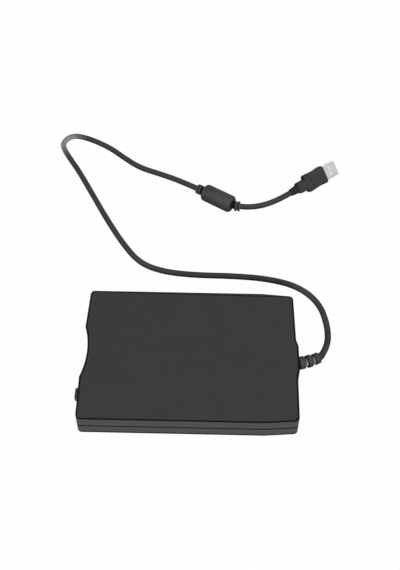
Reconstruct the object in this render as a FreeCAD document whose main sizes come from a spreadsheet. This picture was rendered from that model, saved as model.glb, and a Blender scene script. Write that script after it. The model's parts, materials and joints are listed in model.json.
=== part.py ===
import FreeCAD, Part
import math
import os
import re
import Sketcher
from FreeCAD import Placement, Rotation, Vector

# Slim external floppy disk drive for 3.5 inch disks, in millimetres.
# +X runs from the disk slot to the cable, +Y across, +Z up.
# The origin is on the table, under the middle of the case.

SIZES = {
    # case
    "caseLength": 142.0,
    "caseWidth": 104.0,
    "footHeight": 0.8,
    "bodyHeight": 17.2,
    "lowerHeight": 8.2,
    "wall": 2.0,
    "floorThickness": 1.8,
    "ceilingThickness": 1.6,
    "cornerRadius": 3.0,
    "topEdgeRadius": 0.5,
    "bottomEdgeRadius": 1.0,
    "frontSetBack": 0.8,
    "rearSetBack": 0.5,
    "taperLength": 22.0,
    "taperInset": 1.84,
    "notchHalfWidth": 20.4,
    "notchDepth": 3.1,
    "bulgeReach": 1.4,
    "bulgeMiddle": -2.0,
    "bulgeRoot": 29.4,
    "bulgeFlat": 19.3,
    "seamDepth": 0.4,
    "seamHeight": 0.5,
    "edgeLineDepth": 0.35,
    "edgeLineHeight": 0.7,
    "edgeLineDrop": 0.7,
    "lipHeight": 1.0,
    "lipThickness": 0.8,
    "fitGap": 0.1,
    "pressGap": 0.02,
    # how far cuts and joined blocks run past the faces they meet
    "past": 1.0,
    "windowWidth": 98.0,
    "windowBottom": 3.2,
    "windowHeight": 12.8,
    "bezelRecess": 0.3,
    "footRadius": 4.5,
    "footSink": 0.5,
    "footSetIn": 15.0,
    "footSideIn": 8.5,
    # case screws and posts
    "postRadius": 2.6,
    "postFromRear": 7.0,
    "postFromMiddle": 44.0,
    "postSplit": 8.0,
    "screwRadius": 1.0,
    "screwHeadRadius": 2.0,
    "screwHeadHeight": 0.9,
    "screwPlay": 0.15,
    "caseScrewLength": 9.0,
    "counterboreDepth": 1.0,
    "caseBoreDepth": 3.4,
    # slot, flap and front fittings
    "diskWidth": 90.0,
    "diskThickness": 3.3,
    "diskPlay": 0.7,
    "slotRise": 0.9,
    "slotDrop": 0.3,
    "flapGap": 0.5,
    "flapThickness": 0.8,
    "flapSideGap": 0.3,
    "flapAxleRadius": 0.45,
    "flapAxleRise": 0.8,
    "axleShave": 0.001,
    "flapTopRise": 0.4,
    "lugSpacing": 86.0,
    "lugWidth": 1.0,
    "lugHalfHeight": 0.7,
    "lugNotch": 1.3,
    "flapSpringLength": 6.0,
    "springWire": 0.3,
    "flapSpringRadius": 0.75,
    "buttonWidth": 8.0,
    "buttonHeight": 3.8,
    "buttonMiddle": -26.7,
    "buttonBottom": 4.3,
    "buttonReach": 2.4,
    "buttonPlay": 0.3,
    "buttonRound": 0.7,
    "ledSide": 35.0,
    "ledHeight": 6.4,
    "ledRadius": 1.0,
    "ledPlay": 0.1,
    "ledDepth": 1.6,
    # drive frame
    "chassisLength": 123.1,
    "chassisWidth": 96.0,
    "chassisLift": 0.6,
    "sheet": 0.8,
    "sideWall": 1.0,
    "sideWallHeight": 9.8,
    "railWindowLength": 38.0,
    "railWindowFromEdge": 15.5,
    "mountSetBack": 12.0,
    "mountSpacingX": 98.0,
    "mountSpacingY": 70.0,
    "coverThickness": 0.4,
    "coverRise": 0.25,
    "coverSetBack": 15.0,
    "coverLength": 102.0,
    "coverFlange": 5.6,
    "coverWindowLength": 40.0,
    "coverWindowPast": 8.0,
    "coverWindowWidth": 18.0,
    "coverScrewRadius": 0.9,
    "coverScrewHead": 1.6,
    "coverScrewHeadHeight": 0.6,
    "coverScrewSpacing": 65.0,
    "coverScrewSetBack": 20.0,
    # disk lift
    "chuckHeight": 3.3,
    "diskLift": 2.0,
    "slideTravel": 5.0,
    "lipOverlap": 3.0,
    "lipSheet": 0.5,
    "holderWall": 0.6,
    "holderSideGap": 0.2,
    "holderTopGap": 0.6,
    "holderSheet": 0.5,
    "holderSetBack": 5.8,
    "holderLength": 83.8,
    "holderCutWidth": 18.0,
    "holderCutLength": 26.0,
    "cornerCutLength": 21.6,
    "cornerCutPast": 4.0,
    "pinRadius": 1.0,
    "pinPlay": 0.1,
    "pinHeight": 1.9,
    "pinFrontX": 15.6,
    "pinSpacing": 62.0,
    "sliderGap": 0.1,
    "sliderSheet": 0.8,
    "sliderSetBack": 3.6,
    "sliderLength": 82.5,
    "sliderBottom": 6.0,
    "sliderTop": 14.0,
    "sliderPlate": 0.5,
    "sliderPlateSetBack": 10.6,
    "sliderPlateLength": 45.0,
    "sliderArmLength": 2.5,
    "sliderArmSheet": 0.6,
    # shutter lever
    "leverPivotX": 48.0,
    "leverPivotY": 39.0,
    "leverLength": 30.0,
    "leverTurn": 53.0,
    "leverRestAngle": 36.87,
    "leverSheet": 0.6,
    "leverHub": 2.4,
    "leverTip": 1.8,
    "leverPinRadius": 1.0,
    "leverPinDrop": 3.6,
    "leverSlotPlay": 0.4,
    "leverSlotSpare": 6.0,
    "pivotPinRadius": 1.0,
    "pivotPinPlay": 0.06,
    "pivotHead": 1.9,
    "pivotHeadHeight": 0.3,
    "leverSpringHeight": 0.5,
    # spindle motor
    "spindleSetBack": 45.1,
    "boardThickness": 0.6,
    "boardLength": 66.0,
    "boardWidth": 85.0,
    "boardSetBack": 4.1,
    "boardHole": 3.2,
    "statorInner": 10.0,
    "statorCore": 14.0,
    "statorOuter": 21.5,
    "coilStart": 13.0,
    "statorHeight": 1.2,
    "coilCount": 9.0,
    "coilWidth": 4.6,
    "rotorRadius": 26.0,
    "rotorRim": 0.6,
    "rotorPlate": 0.6,
    "rotorFloat": 0.3,
    "rotorLift": 1.6,
    "magnetThickness": 2.1,
    "magnetGap": 0.05,
    "bearingRadius": 3.0,
    "shaftRadius": 1.5,
    "shaftPlay": 0.04,
    "shaftTip": 1.6,
    "hubRadius": 12.0,
    "hubHeight": 0.5,
    "drivePinRing": 10.0,
    "drivePinRadius": 1.2,
    "drivePinPlay": 0.1,
    "drivePinRise": 0.8,
    "drivePinSeat": 0.15,
    # head carriage
    "trackZeroRadius": 39.5,
    "seekTravel": 14.8125,
    "diskEdge": 46.0,
    "railRadius": 1.0,
    "railHeight": 1.7,
    "railPlay": 0.05,
    "mainRailY": 7.0,
    "sideRailY": -11.0,
    "railOverrun": 3.9,
    "railTail": 5.0,
    "clampLength": 1.8,
    "clampWidth": 4.0,
    "clampWall": 0.4,
    "baseStart": 8.0,
    "baseLength": 20.0,
    "baseHalfLow": 13.0,
    "baseHalfHigh": 10.0,
    "baseBottom": 0.4,
    "baseTop": 3.1,
    "noseWidth": 7.6,
    "noseHeight": 1.0,
    "noseSink": 0.1,
    "noseTipX": 2.2,
    "headLength": 4.0,
    "headWidth": 4.0,
    "mediaHeight": 1.65,
    "towerStart": 22.0,
    "towerLength": 6.0,
    "towerHalfWidth": 6.5,
    "towerRise": 1.0,
    "cheekInner": 4.9,
    "hingeForward": 2.5,
    "hingeHeight": 3.9,
    "hingePinRadius": 0.6,
    "hingePlay": 0.05,
    "hingeWall": 0.6,
    "armSheet": 0.65,
    "armHalfWidth": 4.5,
    "armTipHalfWidth": 3.2,
    "armTipReach": 2.0,
    "armRise": 0.35,
    "armLift": 8.9,
    "headGap": 0.1,
    # head drive
    "screwY": 16.0,
    "screwHeight": 5.2,
    "threadRadius": 1.2,
    "journalRadius": 0.7,
    "journalPlay": 0.05,
    "journalLength": 1.5,
    "threadMargin": 0.2,
    "followerSetBack": 14.9,
    "followerThickness": 1.2,
    "followerReach": 1.8,
    "nutPlay": 0.08,
    "nutWall": 0.5,
    "stepperRadius": 5.0,
    "stepperLength": 13.6,
    "bracketSheet": 0.5,
    "bracketFoot": 0.5,
    "bracketWidth": 9.0,
    "earGap": 0.3,
    "earHalfWidth": 2.4,
    "sensorFromEdge": 19.5,
    "sensorLength": 4.0,
    "sensorSide": 14.5,
    "sensorWidth": 4.5,
    "sensorHeight": 4.0,
    "sensorSlot": 1.5,
    "sensorSlotHeight": 2.2,
    "sensorBack": 1.0,
    "flagSheet": 0.4,
    "flagLength": 1.5,
    # sensing switches
    "switchSetBack": 10.6,
    "switchLength": 6.0,
    "switchWidth": 4.4,
    "switchHeight": 2.4,
    "switchSide": 38.5,
    "diskInSide": 33.0,
    "plungerRadius": 0.8,
    "plungerPlay": 0.05,
    "plungerTravel": 1.0,
    "plungerSeat": 0.8,
    # springs
    "springRadius": 0.9,
    "springBore": 0.55,
    "springSide": 44.5,
    "springHeight": 1.0,
    "springLength": 19.4,
    "springHookSetBack": 20.2,
    "hookSheet": 0.6,
    "hookHalfWidth": 0.6,
    "hookRise": 0.4,
    # interface board
    "usbBoardLength": 9.6,
    "usbBoardWidth": 76.0,
    "usbBoardSheet": 1.2,
    "usbBoardLift": 2.4,
    "usbBoardFromRear": 2.9,
    "standoffRadius": 1.6,
    "standoffSide": 34.0,
    "chipSide": 7.0,
    "chipHeight": 1.1,
    "chipMiddle": -15.0,
    "crystalLength": 8.0,
    "crystalWidth": 3.2,
    "crystalHeight": 2.4,
    "crystalGap": 1.0,
    "canRadius": 1.8,
    "canHeight": 3.2,
    "canPitch": 4.4,
    "stripLength": 3.0,
    "stripPitch": 1.5,
    "headerWidth": 8.0,
    "headerDepth": 3.0,
    "headerHeight": 2.6,
    "headerSetIn": 3.0,
    "ribbonWidth": 26.0,
    "ribbonSheet": 0.3,
    "ribbonMiddle": 21.0,
    "ribbonRise": 0.6,
    "ribbonSetIn": 3.0,
    "socketDepth": 2.4,
    "socketHeight": 1.8,
    "socketEnd": 1.0,
    # cable
    "cordRadius": 2.2,
    "exitY": 0.2,
    "reliefNeck": 3.3,
    "reliefNeckPlay": 0.1,
    "reliefFlange": 5.6,
    "reliefFlangeDepth": 1.6,
    "reliefCore": 2.9,
    "reliefLead": 1.2,
    "reliefRing": 4.3,
    "reliefRingTaper": 0.3,
    "reliefRingLength": 4.6,
    "ferriteRadius": 7.0,
    "ferriteLength": 26.0,
    "ferriteRound": 2.6,
    "ferriteCollar": 3.9,
    "ferriteCollarLength": 4.6,
    "ferriteGroove": 0.9,
    "ferriteRingWidth": 1.53,
    "ferriteRingStart": 0.92,
    "ferriteRingPitch": 2.45,
    "plugLength": 18.5,
    "plugWaistLength": 7.4,
    "plugFlareLength": 6.5,
    "plugWidth": 14.0,
    "plugThickness": 7.8,
    "plugTail": 13.4,
    "plugCorner": 1.6,
    "plugNeckLength": 7.6,
    "plugNeckWidth": 8.8,
    "plugNeckThickness": 7.0,
    "plugRingRadius": 3.5,
    "plugRingPitch": 2.3,
    "plugRingGap": 0.4,
    "plugCoreWall": 0.6,
    "plugRoll": 48.4,
    "plugShellWidth": 12.0,
    "plugShellHeight": 4.5,
    "plugShellSheet": 0.3,
    "plugShellReach": 11.75,
    "plugShellRoot": 4.0,
    "plugTongueWidth": 11.1,
    "plugTongueHeight": 1.9,
    "plugWindow": 2.2,
    "plugWindowSide": 2.6,
    "plugWindowFromTip": 6.2,
    "contactWidth": 1.0,
    "tongueSetBack": 0.4,
    "contactSetBack": 1.4,
    "contactLength": 6.4,
    "contactHeight": 0.2,
    "contactPitch": 2.3,
}

PLACES = {
    # case
    "halfLength": "caseLength / 2",
    "halfWidth": "caseWidth / 2",
    "top": "footHeight + bodyHeight",
    "floorTop": "footHeight + floorThickness",
    "ceiling": "top - ceilingThickness",
    "seam": "footHeight + lowerHeight",
    "taperStart": "halfLength - taperLength",
    "rearInner": "halfLength - rearSetBack - wall",
    "windowTop": "windowBottom + windowHeight",
    "windowReach": "-halfLength + notchDepth + wall + past",
    "postX": "halfLength - postFromRear",
    "footX": "halfLength - footSetIn",
    "footY": "halfWidth - footSideIn",
    # drive frame
    "flapX": "-halfLength + notchDepth + wall + flapGap + flapThickness / 2",
    "chassisFront": "flapX - flapThickness / 2",
    "chassisRear": "chassisFront + chassisLength",
    "chassisHalf": "chassisWidth / 2",
    "chassisBottom": "floorTop + chassisLift",
    "deck": "chassisBottom + sheet",
    "deckBoard": "deck + boardThickness",
    "sideTop": "chassisBottom + sideWallHeight",
    "mountFrontX": "chassisFront + mountSetBack",
    "coverTop": "ceiling - coverRise",
    "coverBottom": "coverTop - coverThickness",
    "coverFront": "chassisFront + coverSetBack",
    "coverScrewX": "coverFront + coverScrewSetBack",
    "coverScrewZ": "coverTop - coverFlange + coverScrewHead",
    # disk lift
    "diskHalf": "diskWidth / 2",
    "diskPlane": "deck + chuckHeight",
    "raisedPlane": "diskPlane + diskLift",
    "slotHalf": "diskHalf + diskPlay",
    "slotBottom": "raisedPlane - slotDrop",
    "slotTop": "slotBottom + diskThickness + slotRise",
    "holderInner": "diskHalf + holderSideGap",
    "holderOuter": "holderInner + holderWall",
    "holderUnder": "raisedPlane + diskThickness + holderTopGap",
    "holderTop": "holderUnder + holderSheet",
    "holderFront": "chassisFront + holderSetBack",
    "holderRear": "holderFront + holderLength",
    "pinX": "chassisFront + pinFrontX",
    "pinZ": "raisedPlane + pinHeight",
    "pinEnd": "chassisHalf - holderSideGap",
    "sliderInner": "holderOuter + sliderGap",
    "sliderOuter": "sliderInner + sliderSheet",
    "sliderFront": "chassisFront + sliderSetBack",
    "sliderPlateFront": "chassisFront + sliderPlateSetBack",
    "buttonTop": "buttonBottom + buttonHeight",
    "buttonLow": "buttonMiddle - buttonWidth / 2",
    "buttonHigh": "buttonMiddle + buttonWidth / 2",
    "flapAxleZ": "slotTop + flapAxleRise",
    "flapTop": "flapAxleZ + flapTopRise",
    "flapHalf": "slotHalf - flapSideGap",
    # shutter lever
    "leverX": "spindleX + leverPivotX",
    "leverBottom": "holderTop + fitGap",
    "leverTop": "leverBottom + leverSheet",
    # spindle motor
    "spindleX": "chassisFront + spindleSetBack",
    "boardFront": "chassisFront + boardSetBack",
    "rotorUnder": "deckBoard + rotorLift",
    "rotorTop": "rotorUnder + rotorPlate",
    "rotorFoot": "deckBoard + rotorFloat",
    "drivePinFoot": "rotorTop - drivePinSeat",
    # head carriage
    "headX": "spindleX + trackZeroRadius",
    "diskEdgeX": "spindleX + diskEdge",
    "railZ": "deck + railHeight",
    "railFront": "baseX - seekTravel - clampLength - railOverrun",
    "railRear": "baseRear + railTail",
    "baseX": "headX + baseStart",
    "baseRear": "baseX + baseLength",
    "baseUnder": "deck + baseBottom",
    "baseUpper": "deck + baseTop",
    "noseTop": "baseUpper - noseSink + noseHeight",
    "mediaPlane": "diskPlane + mediaHeight",
    "towerX": "headX + towerStart",
    "towerRear": "towerX + towerLength",
    "cheekFoot": "diskPlane + towerRise",
    "hingeX": "towerX + hingeForward",
    "hingeZ": "diskPlane + hingeHeight",
    "hingeTop": "hingeZ + hingePinRadius + hingeWall",
    "hubOuter": "hingePinRadius + hingeWall - fitGap",
    "armBottom": "-armRise",
    # head drive
    "screwZ": "deck + screwHeight",
    "followerX": "baseX + followerSetBack",
    "threadX": "followerX - seekTravel - threadMargin",
    "threadEnd": "followerX + followerThickness + threadMargin",
    "stepperX": "threadEnd + bracketSheet + fitGap",
    "bracketFootTop": "deck + bracketFoot",
    "earX": "threadX - earGap - bracketSheet",
    "sensorX": "diskEdgeX + sensorFromEdge",
    "sensorMiddle": "deck + sensorSlotHeight",
    # switches
    "switchX": "chassisFront + switchSetBack",
    "switchTop": "deckBoard + switchHeight",
    "plungerTop": "diskPlane + plungerTravel",
    "plungerFoot": "switchTop - plungerSeat",
    # springs
    "springX": "chassisFront + springHookSetBack",
    "springZ": "deck + springHeight",
    # interface board
    "usbRear": "rearInner - usbBoardFromRear + wall",
    "usbFront": "usbRear - usbBoardLength",
    "usbHalf": "usbBoardWidth / 2",
    "usbUnder": "floorTop + usbBoardLift",
    "usbTop": "usbUnder + usbBoardSheet",
    # cable
    "exitX": "halfLength + bulgeReach",
    "exitZ": "seam",
}

TURNS = {
    "x": Rotation(Vector(0, 1, 0), 90),
    "y": Rotation(Vector(1, 0, 0), -90),
    "z": Rotation(),
}

# Free cable on the table, from the strain relief to the ferrite sleeve and on to the plug.
CORD_A = [
    (88.9, 8.4, 6.9),
    (94.5, 17.4, 4.2),
    (96.0, 35.5, 2.2),
    (90.6, 57.5, 2.2),
    (76.0, 73.2, 2.2),
    (53.5, 80.2, 2.2),
    (28.0, 82.2, 2.2),
    (1.0, 82.4, 2.2),
    (-22.5, 84.8, 2.2),
    (-40.0, 93.0, 2.2),
    (-54.0, 112.0, 2.2),
    (-68.2, 137.2, 2.2),
    (-81.6, 163.4, 2.2),
    (-95.2, 190.0, 2.2),
    (-103.4, 203.8, 2.2),
    (-110.0, 216.0, 2.2),
    (-112.2, 223.0, 2.2),
    (-109.9, 230.0, 2.2),
    (-104.2, 233.9, 2.2),
    (-97.0, 232.9, 2.2),
    (-86.6, 228.4, 2.2),
    (-72.0, 219.2, 2.2),
    (-59.6, 207.6, 2.2),
    (-46.6, 196.4, 2.2),
    (-30.0, 188.8, 2.8),
    (-13.0, 178.2, 5.2),
    (1.6, 167.4, 6.9),
]
CORD_B = [
    (34.6, 148.6, 6.9),
    (40.8, 148.6, 6.2),
    (50.4, 151.0, 5.5),
    (60.0, 155.6, 5.2),
    (69.1, 161.6, 5.5),
    (74.4, 165.4, 6.1),
]
# Middle of the strain relief, from the case wall to the start of the cable.
RELIEF_BEND = [(79.5, 0.9, 8.9), (85.8, 3.4, 8.4)]

LEVEL = 0.001  # an edge shorter than this in one direction is flat in it
NEAR = 0.05  # two places closer than this are the same corner
ARC_SHARE = 0.45  # how much of the shorter run each bend of a cable takes up
VOLUME_SHARE = 0.02  # how far a swept bar may be from its section times its length

doc = FreeCAD.newDocument("FloppyDrive")
sheet = doc.addObject("Spreadsheet::Sheet", "Sizes")
for row, (alias, value) in enumerate(SIZES.items(), start=1):
    sheet.set(f"A{row}", alias)
    sheet.set(f"B{row}", str(value))
    sheet.setAlias(f"B{row}", alias)
doc.recompute()

nodes = []


def formula(text):
    """Spells out a formula in the sheet's own names."""

    def spell(match):
        word = match.group(0)
        if word in PLACES:
            return "(" + formula(PLACES[word]) + ")"
        if word in SIZES:
            return "Sizes." + word
        return word

    return re.sub(r"[A-Za-z]\w*", spell, str(text))


def size(text):
    """The number that a formula gives now."""
    return float(sheet.evalExpression(formula(text)))


def bind(thing, prop, text):
    thing.setExpression(prop, formula(text))


def keep(label, thing):
    """Names a finished sub-part."""
    thing.Label = label
    nodes.append(thing)
    return thing


# ---- solids from primitives -------------------------------------------------


def box(x, y, z):
    """A block between two formulas on each axis."""
    block = doc.addObject("Part::Box", "Block")
    for prop, letter, (low, high) in zip(("Length", "Width", "Height"), "xyz", (x, y, z)):
        bind(block, prop, f"({high}) - ({low})")
        bind(block, f"Placement.Base.{letter}", low)
    return block


def rod(axis, span, centre, radius):
    """A cylinder along an axis; centre gives the other two places in X, Y, Z order."""
    round_bar = doc.addObject("Part::Cylinder", "Rod")
    round_bar.Placement = Placement(Vector(), TURNS[axis])
    places = list(centre)
    places.insert("xyz".index(axis), span[0])
    for letter, place in zip("xyz", places):
        bind(round_bar, f"Placement.Base.{letter}", place)
    bind(round_bar, "Radius", radius)
    bind(round_bar, "Height", f"({span[1]}) - ({span[0]})")
    return round_bar


def fuse(*things):
    if len(things) == 1:
        return things[0]
    joined = doc.addObject("Part::MultiFuse", "Joined")
    joined.Shapes = list(things)
    return joined


def cut(base, *tools):
    rest = doc.addObject("Part::Cut", "Rest")
    rest.Base = base
    rest.Tool = fuse(*tools)
    return rest


def group(*things):
    """Several loose solids of one kind, kept together."""
    loose = doc.addObject("Part::Compound", "Group")
    loose.Links = list(things)
    return loose


def carried(thing):
    """A plain block in a group of its own, so that the group can be turned and moved."""
    carrier = doc.addObject("Part::Compound", "Group")
    carrier.Links = [thing]
    return carrier


def tube(axis, span, centre, outer, inner):
    return cut(rod(axis, span, centre, outer), rod(axis, span, centre, inner))


# ---- bodies from sketches ---------------------------------------------------


def new_body(label):
    body = doc.addObject("PartDesign::Body", "Body")
    return keep(label, body)


def new_sketch(body, plane="XY_Plane", height="0"):
    sketch = body.newObject("Sketcher::SketchObject", "Sketch")
    origin_plane = [f for f in body.Origin.OriginFeatures if f.Role == plane][0]
    sketch.AttachmentSupport = [(origin_plane, "")]
    sketch.MapMode = "FlatFace"
    bind(sketch, "AttachmentOffset.Base.z", height)
    return sketch


def pin_point(sketch, geometry, point, place):
    """Ties a point of the sketch to two formulas."""
    for kind, text in zip(("DistanceX", "DistanceY"), place):
        number = sketch.addConstraint(Sketcher.Constraint(kind, -1, 1, geometry, point, size(text)))
        name = f"place{number}"
        sketch.renameConstraint(number, name)
        bind(sketch, f"Constraints.{name}", text)


def pin_radius(sketch, geometry, text):
    number = sketch.addConstraint(Sketcher.Constraint("Radius", geometry, size(text)))
    name = f"radius{number}"
    sketch.renameConstraint(number, name)
    bind(sketch, f"Constraints.{name}", text)


def arc_between(start, end, radius):
    """The arc that turns right from start to end, and its two ends' numbers."""
    middle = (start + end) / 2
    half = (end - start).Length / 2
    along = (end - start).normalize()
    side = Vector(-along.y, along.x, 0)
    centre = middle - side * math.sqrt(radius * radius - half * half)
    first = math.atan2(end.y - centre.y, end.x - centre.x)
    last = math.atan2(start.y - centre.y, start.x - centre.x)
    circle = Part.Circle(centre, Vector(0, 0, 1), radius)
    return Part.ArcOfCircle(circle, first, last)


def outline(sketch, points, arcs=None):
    """A closed outline; arcs gives the radius of the arc that leaves a numbered point."""
    arcs = arcs or {}
    spots = [Vector(size(x), size(y), 0) for x, y in points]
    count = len(points)
    starts = []
    ends = []
    for k in range(count):
        here, there = spots[k], spots[(k + 1) % count]
        if k in arcs:
            edge = sketch.addGeometry(arc_between(here, there, size(arcs[k])), False)
            starts.append((edge, 2))
            ends.append((edge, 1))
        else:
            edge = sketch.addGeometry(Part.LineSegment(here, there), False)
            starts.append((edge, 1))
            ends.append((edge, 2))
    for k in range(count):
        meeting = (*ends[k - 1], *starts[k])
        sketch.addConstraint(Sketcher.Constraint("Coincident", *meeting))
    for k in range(count):
        pin_point(sketch, *starts[k], points[k])
    for k, radius in arcs.items():
        pin_radius(sketch, starts[k][0], radius)


def rectangle(sketch, x, y):
    outline(sketch, [(x[0], y[0]), (x[1], y[0]), (x[1], y[1]), (x[0], y[1])])


def disc(sketch, centre, radius):
    spot = Vector(size(centre[0]), size(centre[1]), 0)
    circle = sketch.addGeometry(Part.Circle(spot, Vector(0, 0, 1), size(radius)), False)
    pin_point(sketch, circle, 3, centre)
    pin_radius(sketch, circle, radius)


def pad(body, sketch, length):
    feature = body.newObject("PartDesign::Pad", "Pad")
    feature.Profile = sketch
    bind(feature, "Length", length)
    doc.recompute()
    return feature


def pocket(body, sketch, length, backwards=False):
    """Cuts from the sketch against its normal, or along it when backwards."""
    before = body.Shape.Volume
    feature = body.newObject("PartDesign::Pocket", "Pocket")
    feature.Profile = sketch
    feature.Reversed = backwards
    bind(feature, "Length", length)
    doc.recompute()
    if not body.Shape.Volume < before:
        raise RuntimeError(f"{body.Label}: a pocket cuts nothing")
    return feature


def fillet(body, radius, wanted):
    """Rounds the edges of the body that wanted() picks."""
    base = body.Tip
    names = [f"Edge{k}" for k, edge in enumerate(base.Shape.Edges, start=1) if wanted(edge)]
    if not names:
        raise RuntimeError(f"{body.Label}: no edge to round")
    feature = body.newObject("PartDesign::Fillet", "Fillet")
    feature.Base = (base, names)
    bind(feature, "Radius", radius)
    doc.recompute()
    return feature


def upright_at(*places):
    """Picks the vertical edges that stand at the given places."""
    spots = [(size(x), size(y)) for x, y in places]

    def wanted(edge):
        bounds = edge.BoundBox
        if bounds.XLength > LEVEL or bounds.YLength > LEVEL:
            return False
        return any(abs(bounds.XMin - x) < NEAR and abs(bounds.YMin - y) < NEAR for x, y in spots)

    return wanted


def level_at(height):
    """Picks the edges that lie flat at a height."""
    level = size(height)
    return lambda edge: abs(edge.BoundBox.ZMin - level) < LEVEL and edge.BoundBox.ZLength < LEVEL


# ---- case -------------------------------------------------------------------


def case_outline(inset):
    """The case's plan outline, moved inwards by a formula."""
    front = f"-halfLength + ({inset})"
    rear = f"halfLength - ({inset})"
    side = f"halfWidth - ({inset})"
    root = "bulgeRoot / 2"
    flat = "bulgeFlat / 2"
    points = [
        (f"{front} + frontSetBack", f"-({side})"),
        ("taperStart", f"-({side})"),
        (f"{rear} - rearSetBack", f"-({side} - taperInset)"),
        (rear, f"bulgeMiddle - {root}"),
        (f"{rear} + bulgeReach", f"bulgeMiddle - {flat}"),
        (f"{rear} + bulgeReach", f"bulgeMiddle + {flat}"),
        (rear, f"bulgeMiddle + {root}"),
        (f"{rear} - rearSetBack", f"{side} - taperInset"),
        ("taperStart", side),
        (f"{front} + frontSetBack", side),
        (front, "notchHalfWidth"),
        (front, "-notchHalfWidth"),
    ]
    return points


NOTCH_RADIUS = "(notchHalfWidth * notchHalfWidth + notchDepth * notchDepth) / (2 * notchDepth)"
NOTCH_ARC = {10: NOTCH_RADIUS}


def case_corners():
    points = case_outline("0")
    return [points[0], points[2], points[7], points[9]]


def case_ring(sketch, outer, inner):
    outline(sketch, case_outline(outer), NOTCH_ARC)
    outline(sketch, case_outline(inner), NOTCH_ARC)


def cable_hole(body):
    """The round hole for the strain relief, at the rear on the seam."""
    hole = new_sketch(body, "YZ_Plane", "rearInner - past")
    disc(hole, ("exitY", "exitZ"), "reliefNeck + reliefNeckPlay")
    pocket(body, hole, "rearSetBack + wall + bulgeReach + 2 * past", backwards=True)


def bezel_window(body, low, high):
    window = new_sketch(body, "YZ_Plane", "windowReach")
    rectangle(window, ("-windowWidth / 2", "windowWidth / 2"), (low, high))
    pocket(body, window, "halfLength + windowReach + past")


def upper_shell():
    body = new_body("upper_shell")
    blank = new_sketch(body, height="seam")
    outline(blank, case_outline("0"), NOTCH_ARC)
    pad(body, blank, "top - seam")
    fillet(body, "cornerRadius", upright_at(*case_corners()))
    fillet(body, "topEdgeRadius", level_at("top"))
    cavity = new_sketch(body, height="ceiling")
    outline(cavity, case_outline("wall"), NOTCH_ARC)
    pocket(body, cavity, "ceiling - seam")
    rebate = new_sketch(body, height="seam + lipHeight + fitGap")
    outline(rebate, case_outline("wall - lipThickness - fitGap"), NOTCH_ARC)
    pocket(body, rebate, "lipHeight + fitGap")
    seam_line = new_sketch(body, height="seam + seamHeight")
    case_ring(seam_line, "-wall", "seamDepth")
    pocket(body, seam_line, "seamHeight")
    edge_line = new_sketch(body, height="top - edgeLineDrop")
    case_ring(edge_line, "-wall", "edgeLineDepth")
    pocket(body, edge_line, "edgeLineHeight")
    bezel_window(body, "seam - past", "windowTop")
    posts = new_sketch(body, height="postSplit")
    for side in ("-", ""):
        disc(posts, ("postX", f"{side}postFromMiddle"), "postRadius")
    pad(body, posts, "ceiling - postSplit")
    bores = new_sketch(body, height="caseBoreDepth + caseScrewLength + footHeight")
    for side in ("-", ""):
        disc(bores, ("postX", f"{side}postFromMiddle"), "screwRadius + fitGap / 2")
    pocket(body, bores, "caseBoreDepth + caseScrewLength + footHeight - postSplit + past")
    cable_hole(body)


def lower_shell():
    body = new_body("lower_shell")
    blank = new_sketch(body, height="footHeight")
    outline(blank, case_outline("0"), NOTCH_ARC)
    pad(body, blank, "lowerHeight")
    fillet(body, "cornerRadius", upright_at(*case_corners()))
    fillet(body, "bottomEdgeRadius", level_at("footHeight"))
    cavity = new_sketch(body, height="seam")
    outline(cavity, case_outline("wall"), NOTCH_ARC)
    pocket(body, cavity, "seam - floorTop")
    lip = new_sketch(body, height="seam")
    case_ring(lip, "wall - lipThickness", "wall")
    pad(body, lip, "lipHeight")
    bezel_window(body, "windowBottom", "seam + lipHeight + past")
    lip_gap = new_sketch(body, height="seam + lipHeight")
    rectangle(lip_gap, ("rearInner - past", "exitX"), ("exitY - reliefFlange", "exitY + reliefFlange"))
    pocket(body, lip_gap, "lipHeight")
    lower_posts(body)
    cable_hole(body)


def mount_places():
    return [
        (f"mountFrontX + {along} * mountSpacingX", f"{side}mountSpacingY / 2")
        for along in (0, 1)
        for side in ("-", "")
    ]


def foot_places():
    return [(f"{end}footX", f"{side}footY") for end in ("-", "") for side in ("-", "")]


def post_places():
    return [("postX", "-postFromMiddle"), ("postX", "postFromMiddle")]


def discs(body, height, places, radius):
    sketch = new_sketch(body, height=height)
    for place in places:
        disc(sketch, place, radius)
    return sketch


def lower_posts(body):
    """Screw posts, board standoffs, screw holes and foot recesses in the tray."""
    pad(body, discs(body, "floorTop", post_places(), "postRadius"), "postSplit - floorTop")
    pad(body, discs(body, "floorTop", mount_places(), "postRadius"), "chassisLift")
    standoffs = [("usbRear - standoffRadius", f"{side}standoffSide") for side in ("-", "")]
    pad(body, discs(body, "floorTop", standoffs, "standoffRadius"), "usbBoardLift")
    clear_hole = "screwRadius + screwPlay"
    pocket(body, discs(body, "postSplit", post_places(), clear_hole), "postSplit")
    head_hole = "screwHeadRadius + screwPlay"
    pocket(body, discs(body, "footHeight + caseBoreDepth", post_places(), head_hole), "caseBoreDepth")
    pocket(body, discs(body, "chassisBottom", mount_places(), clear_hole), "chassisBottom")
    pocket(
        body,
        discs(body, "footHeight + counterboreDepth", mount_places(), head_hole),
        "counterboreDepth",
    )
    pocket(body, discs(body, "footHeight + footSink", foot_places(), "footRadius + fitGap"), "footSink")


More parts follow.
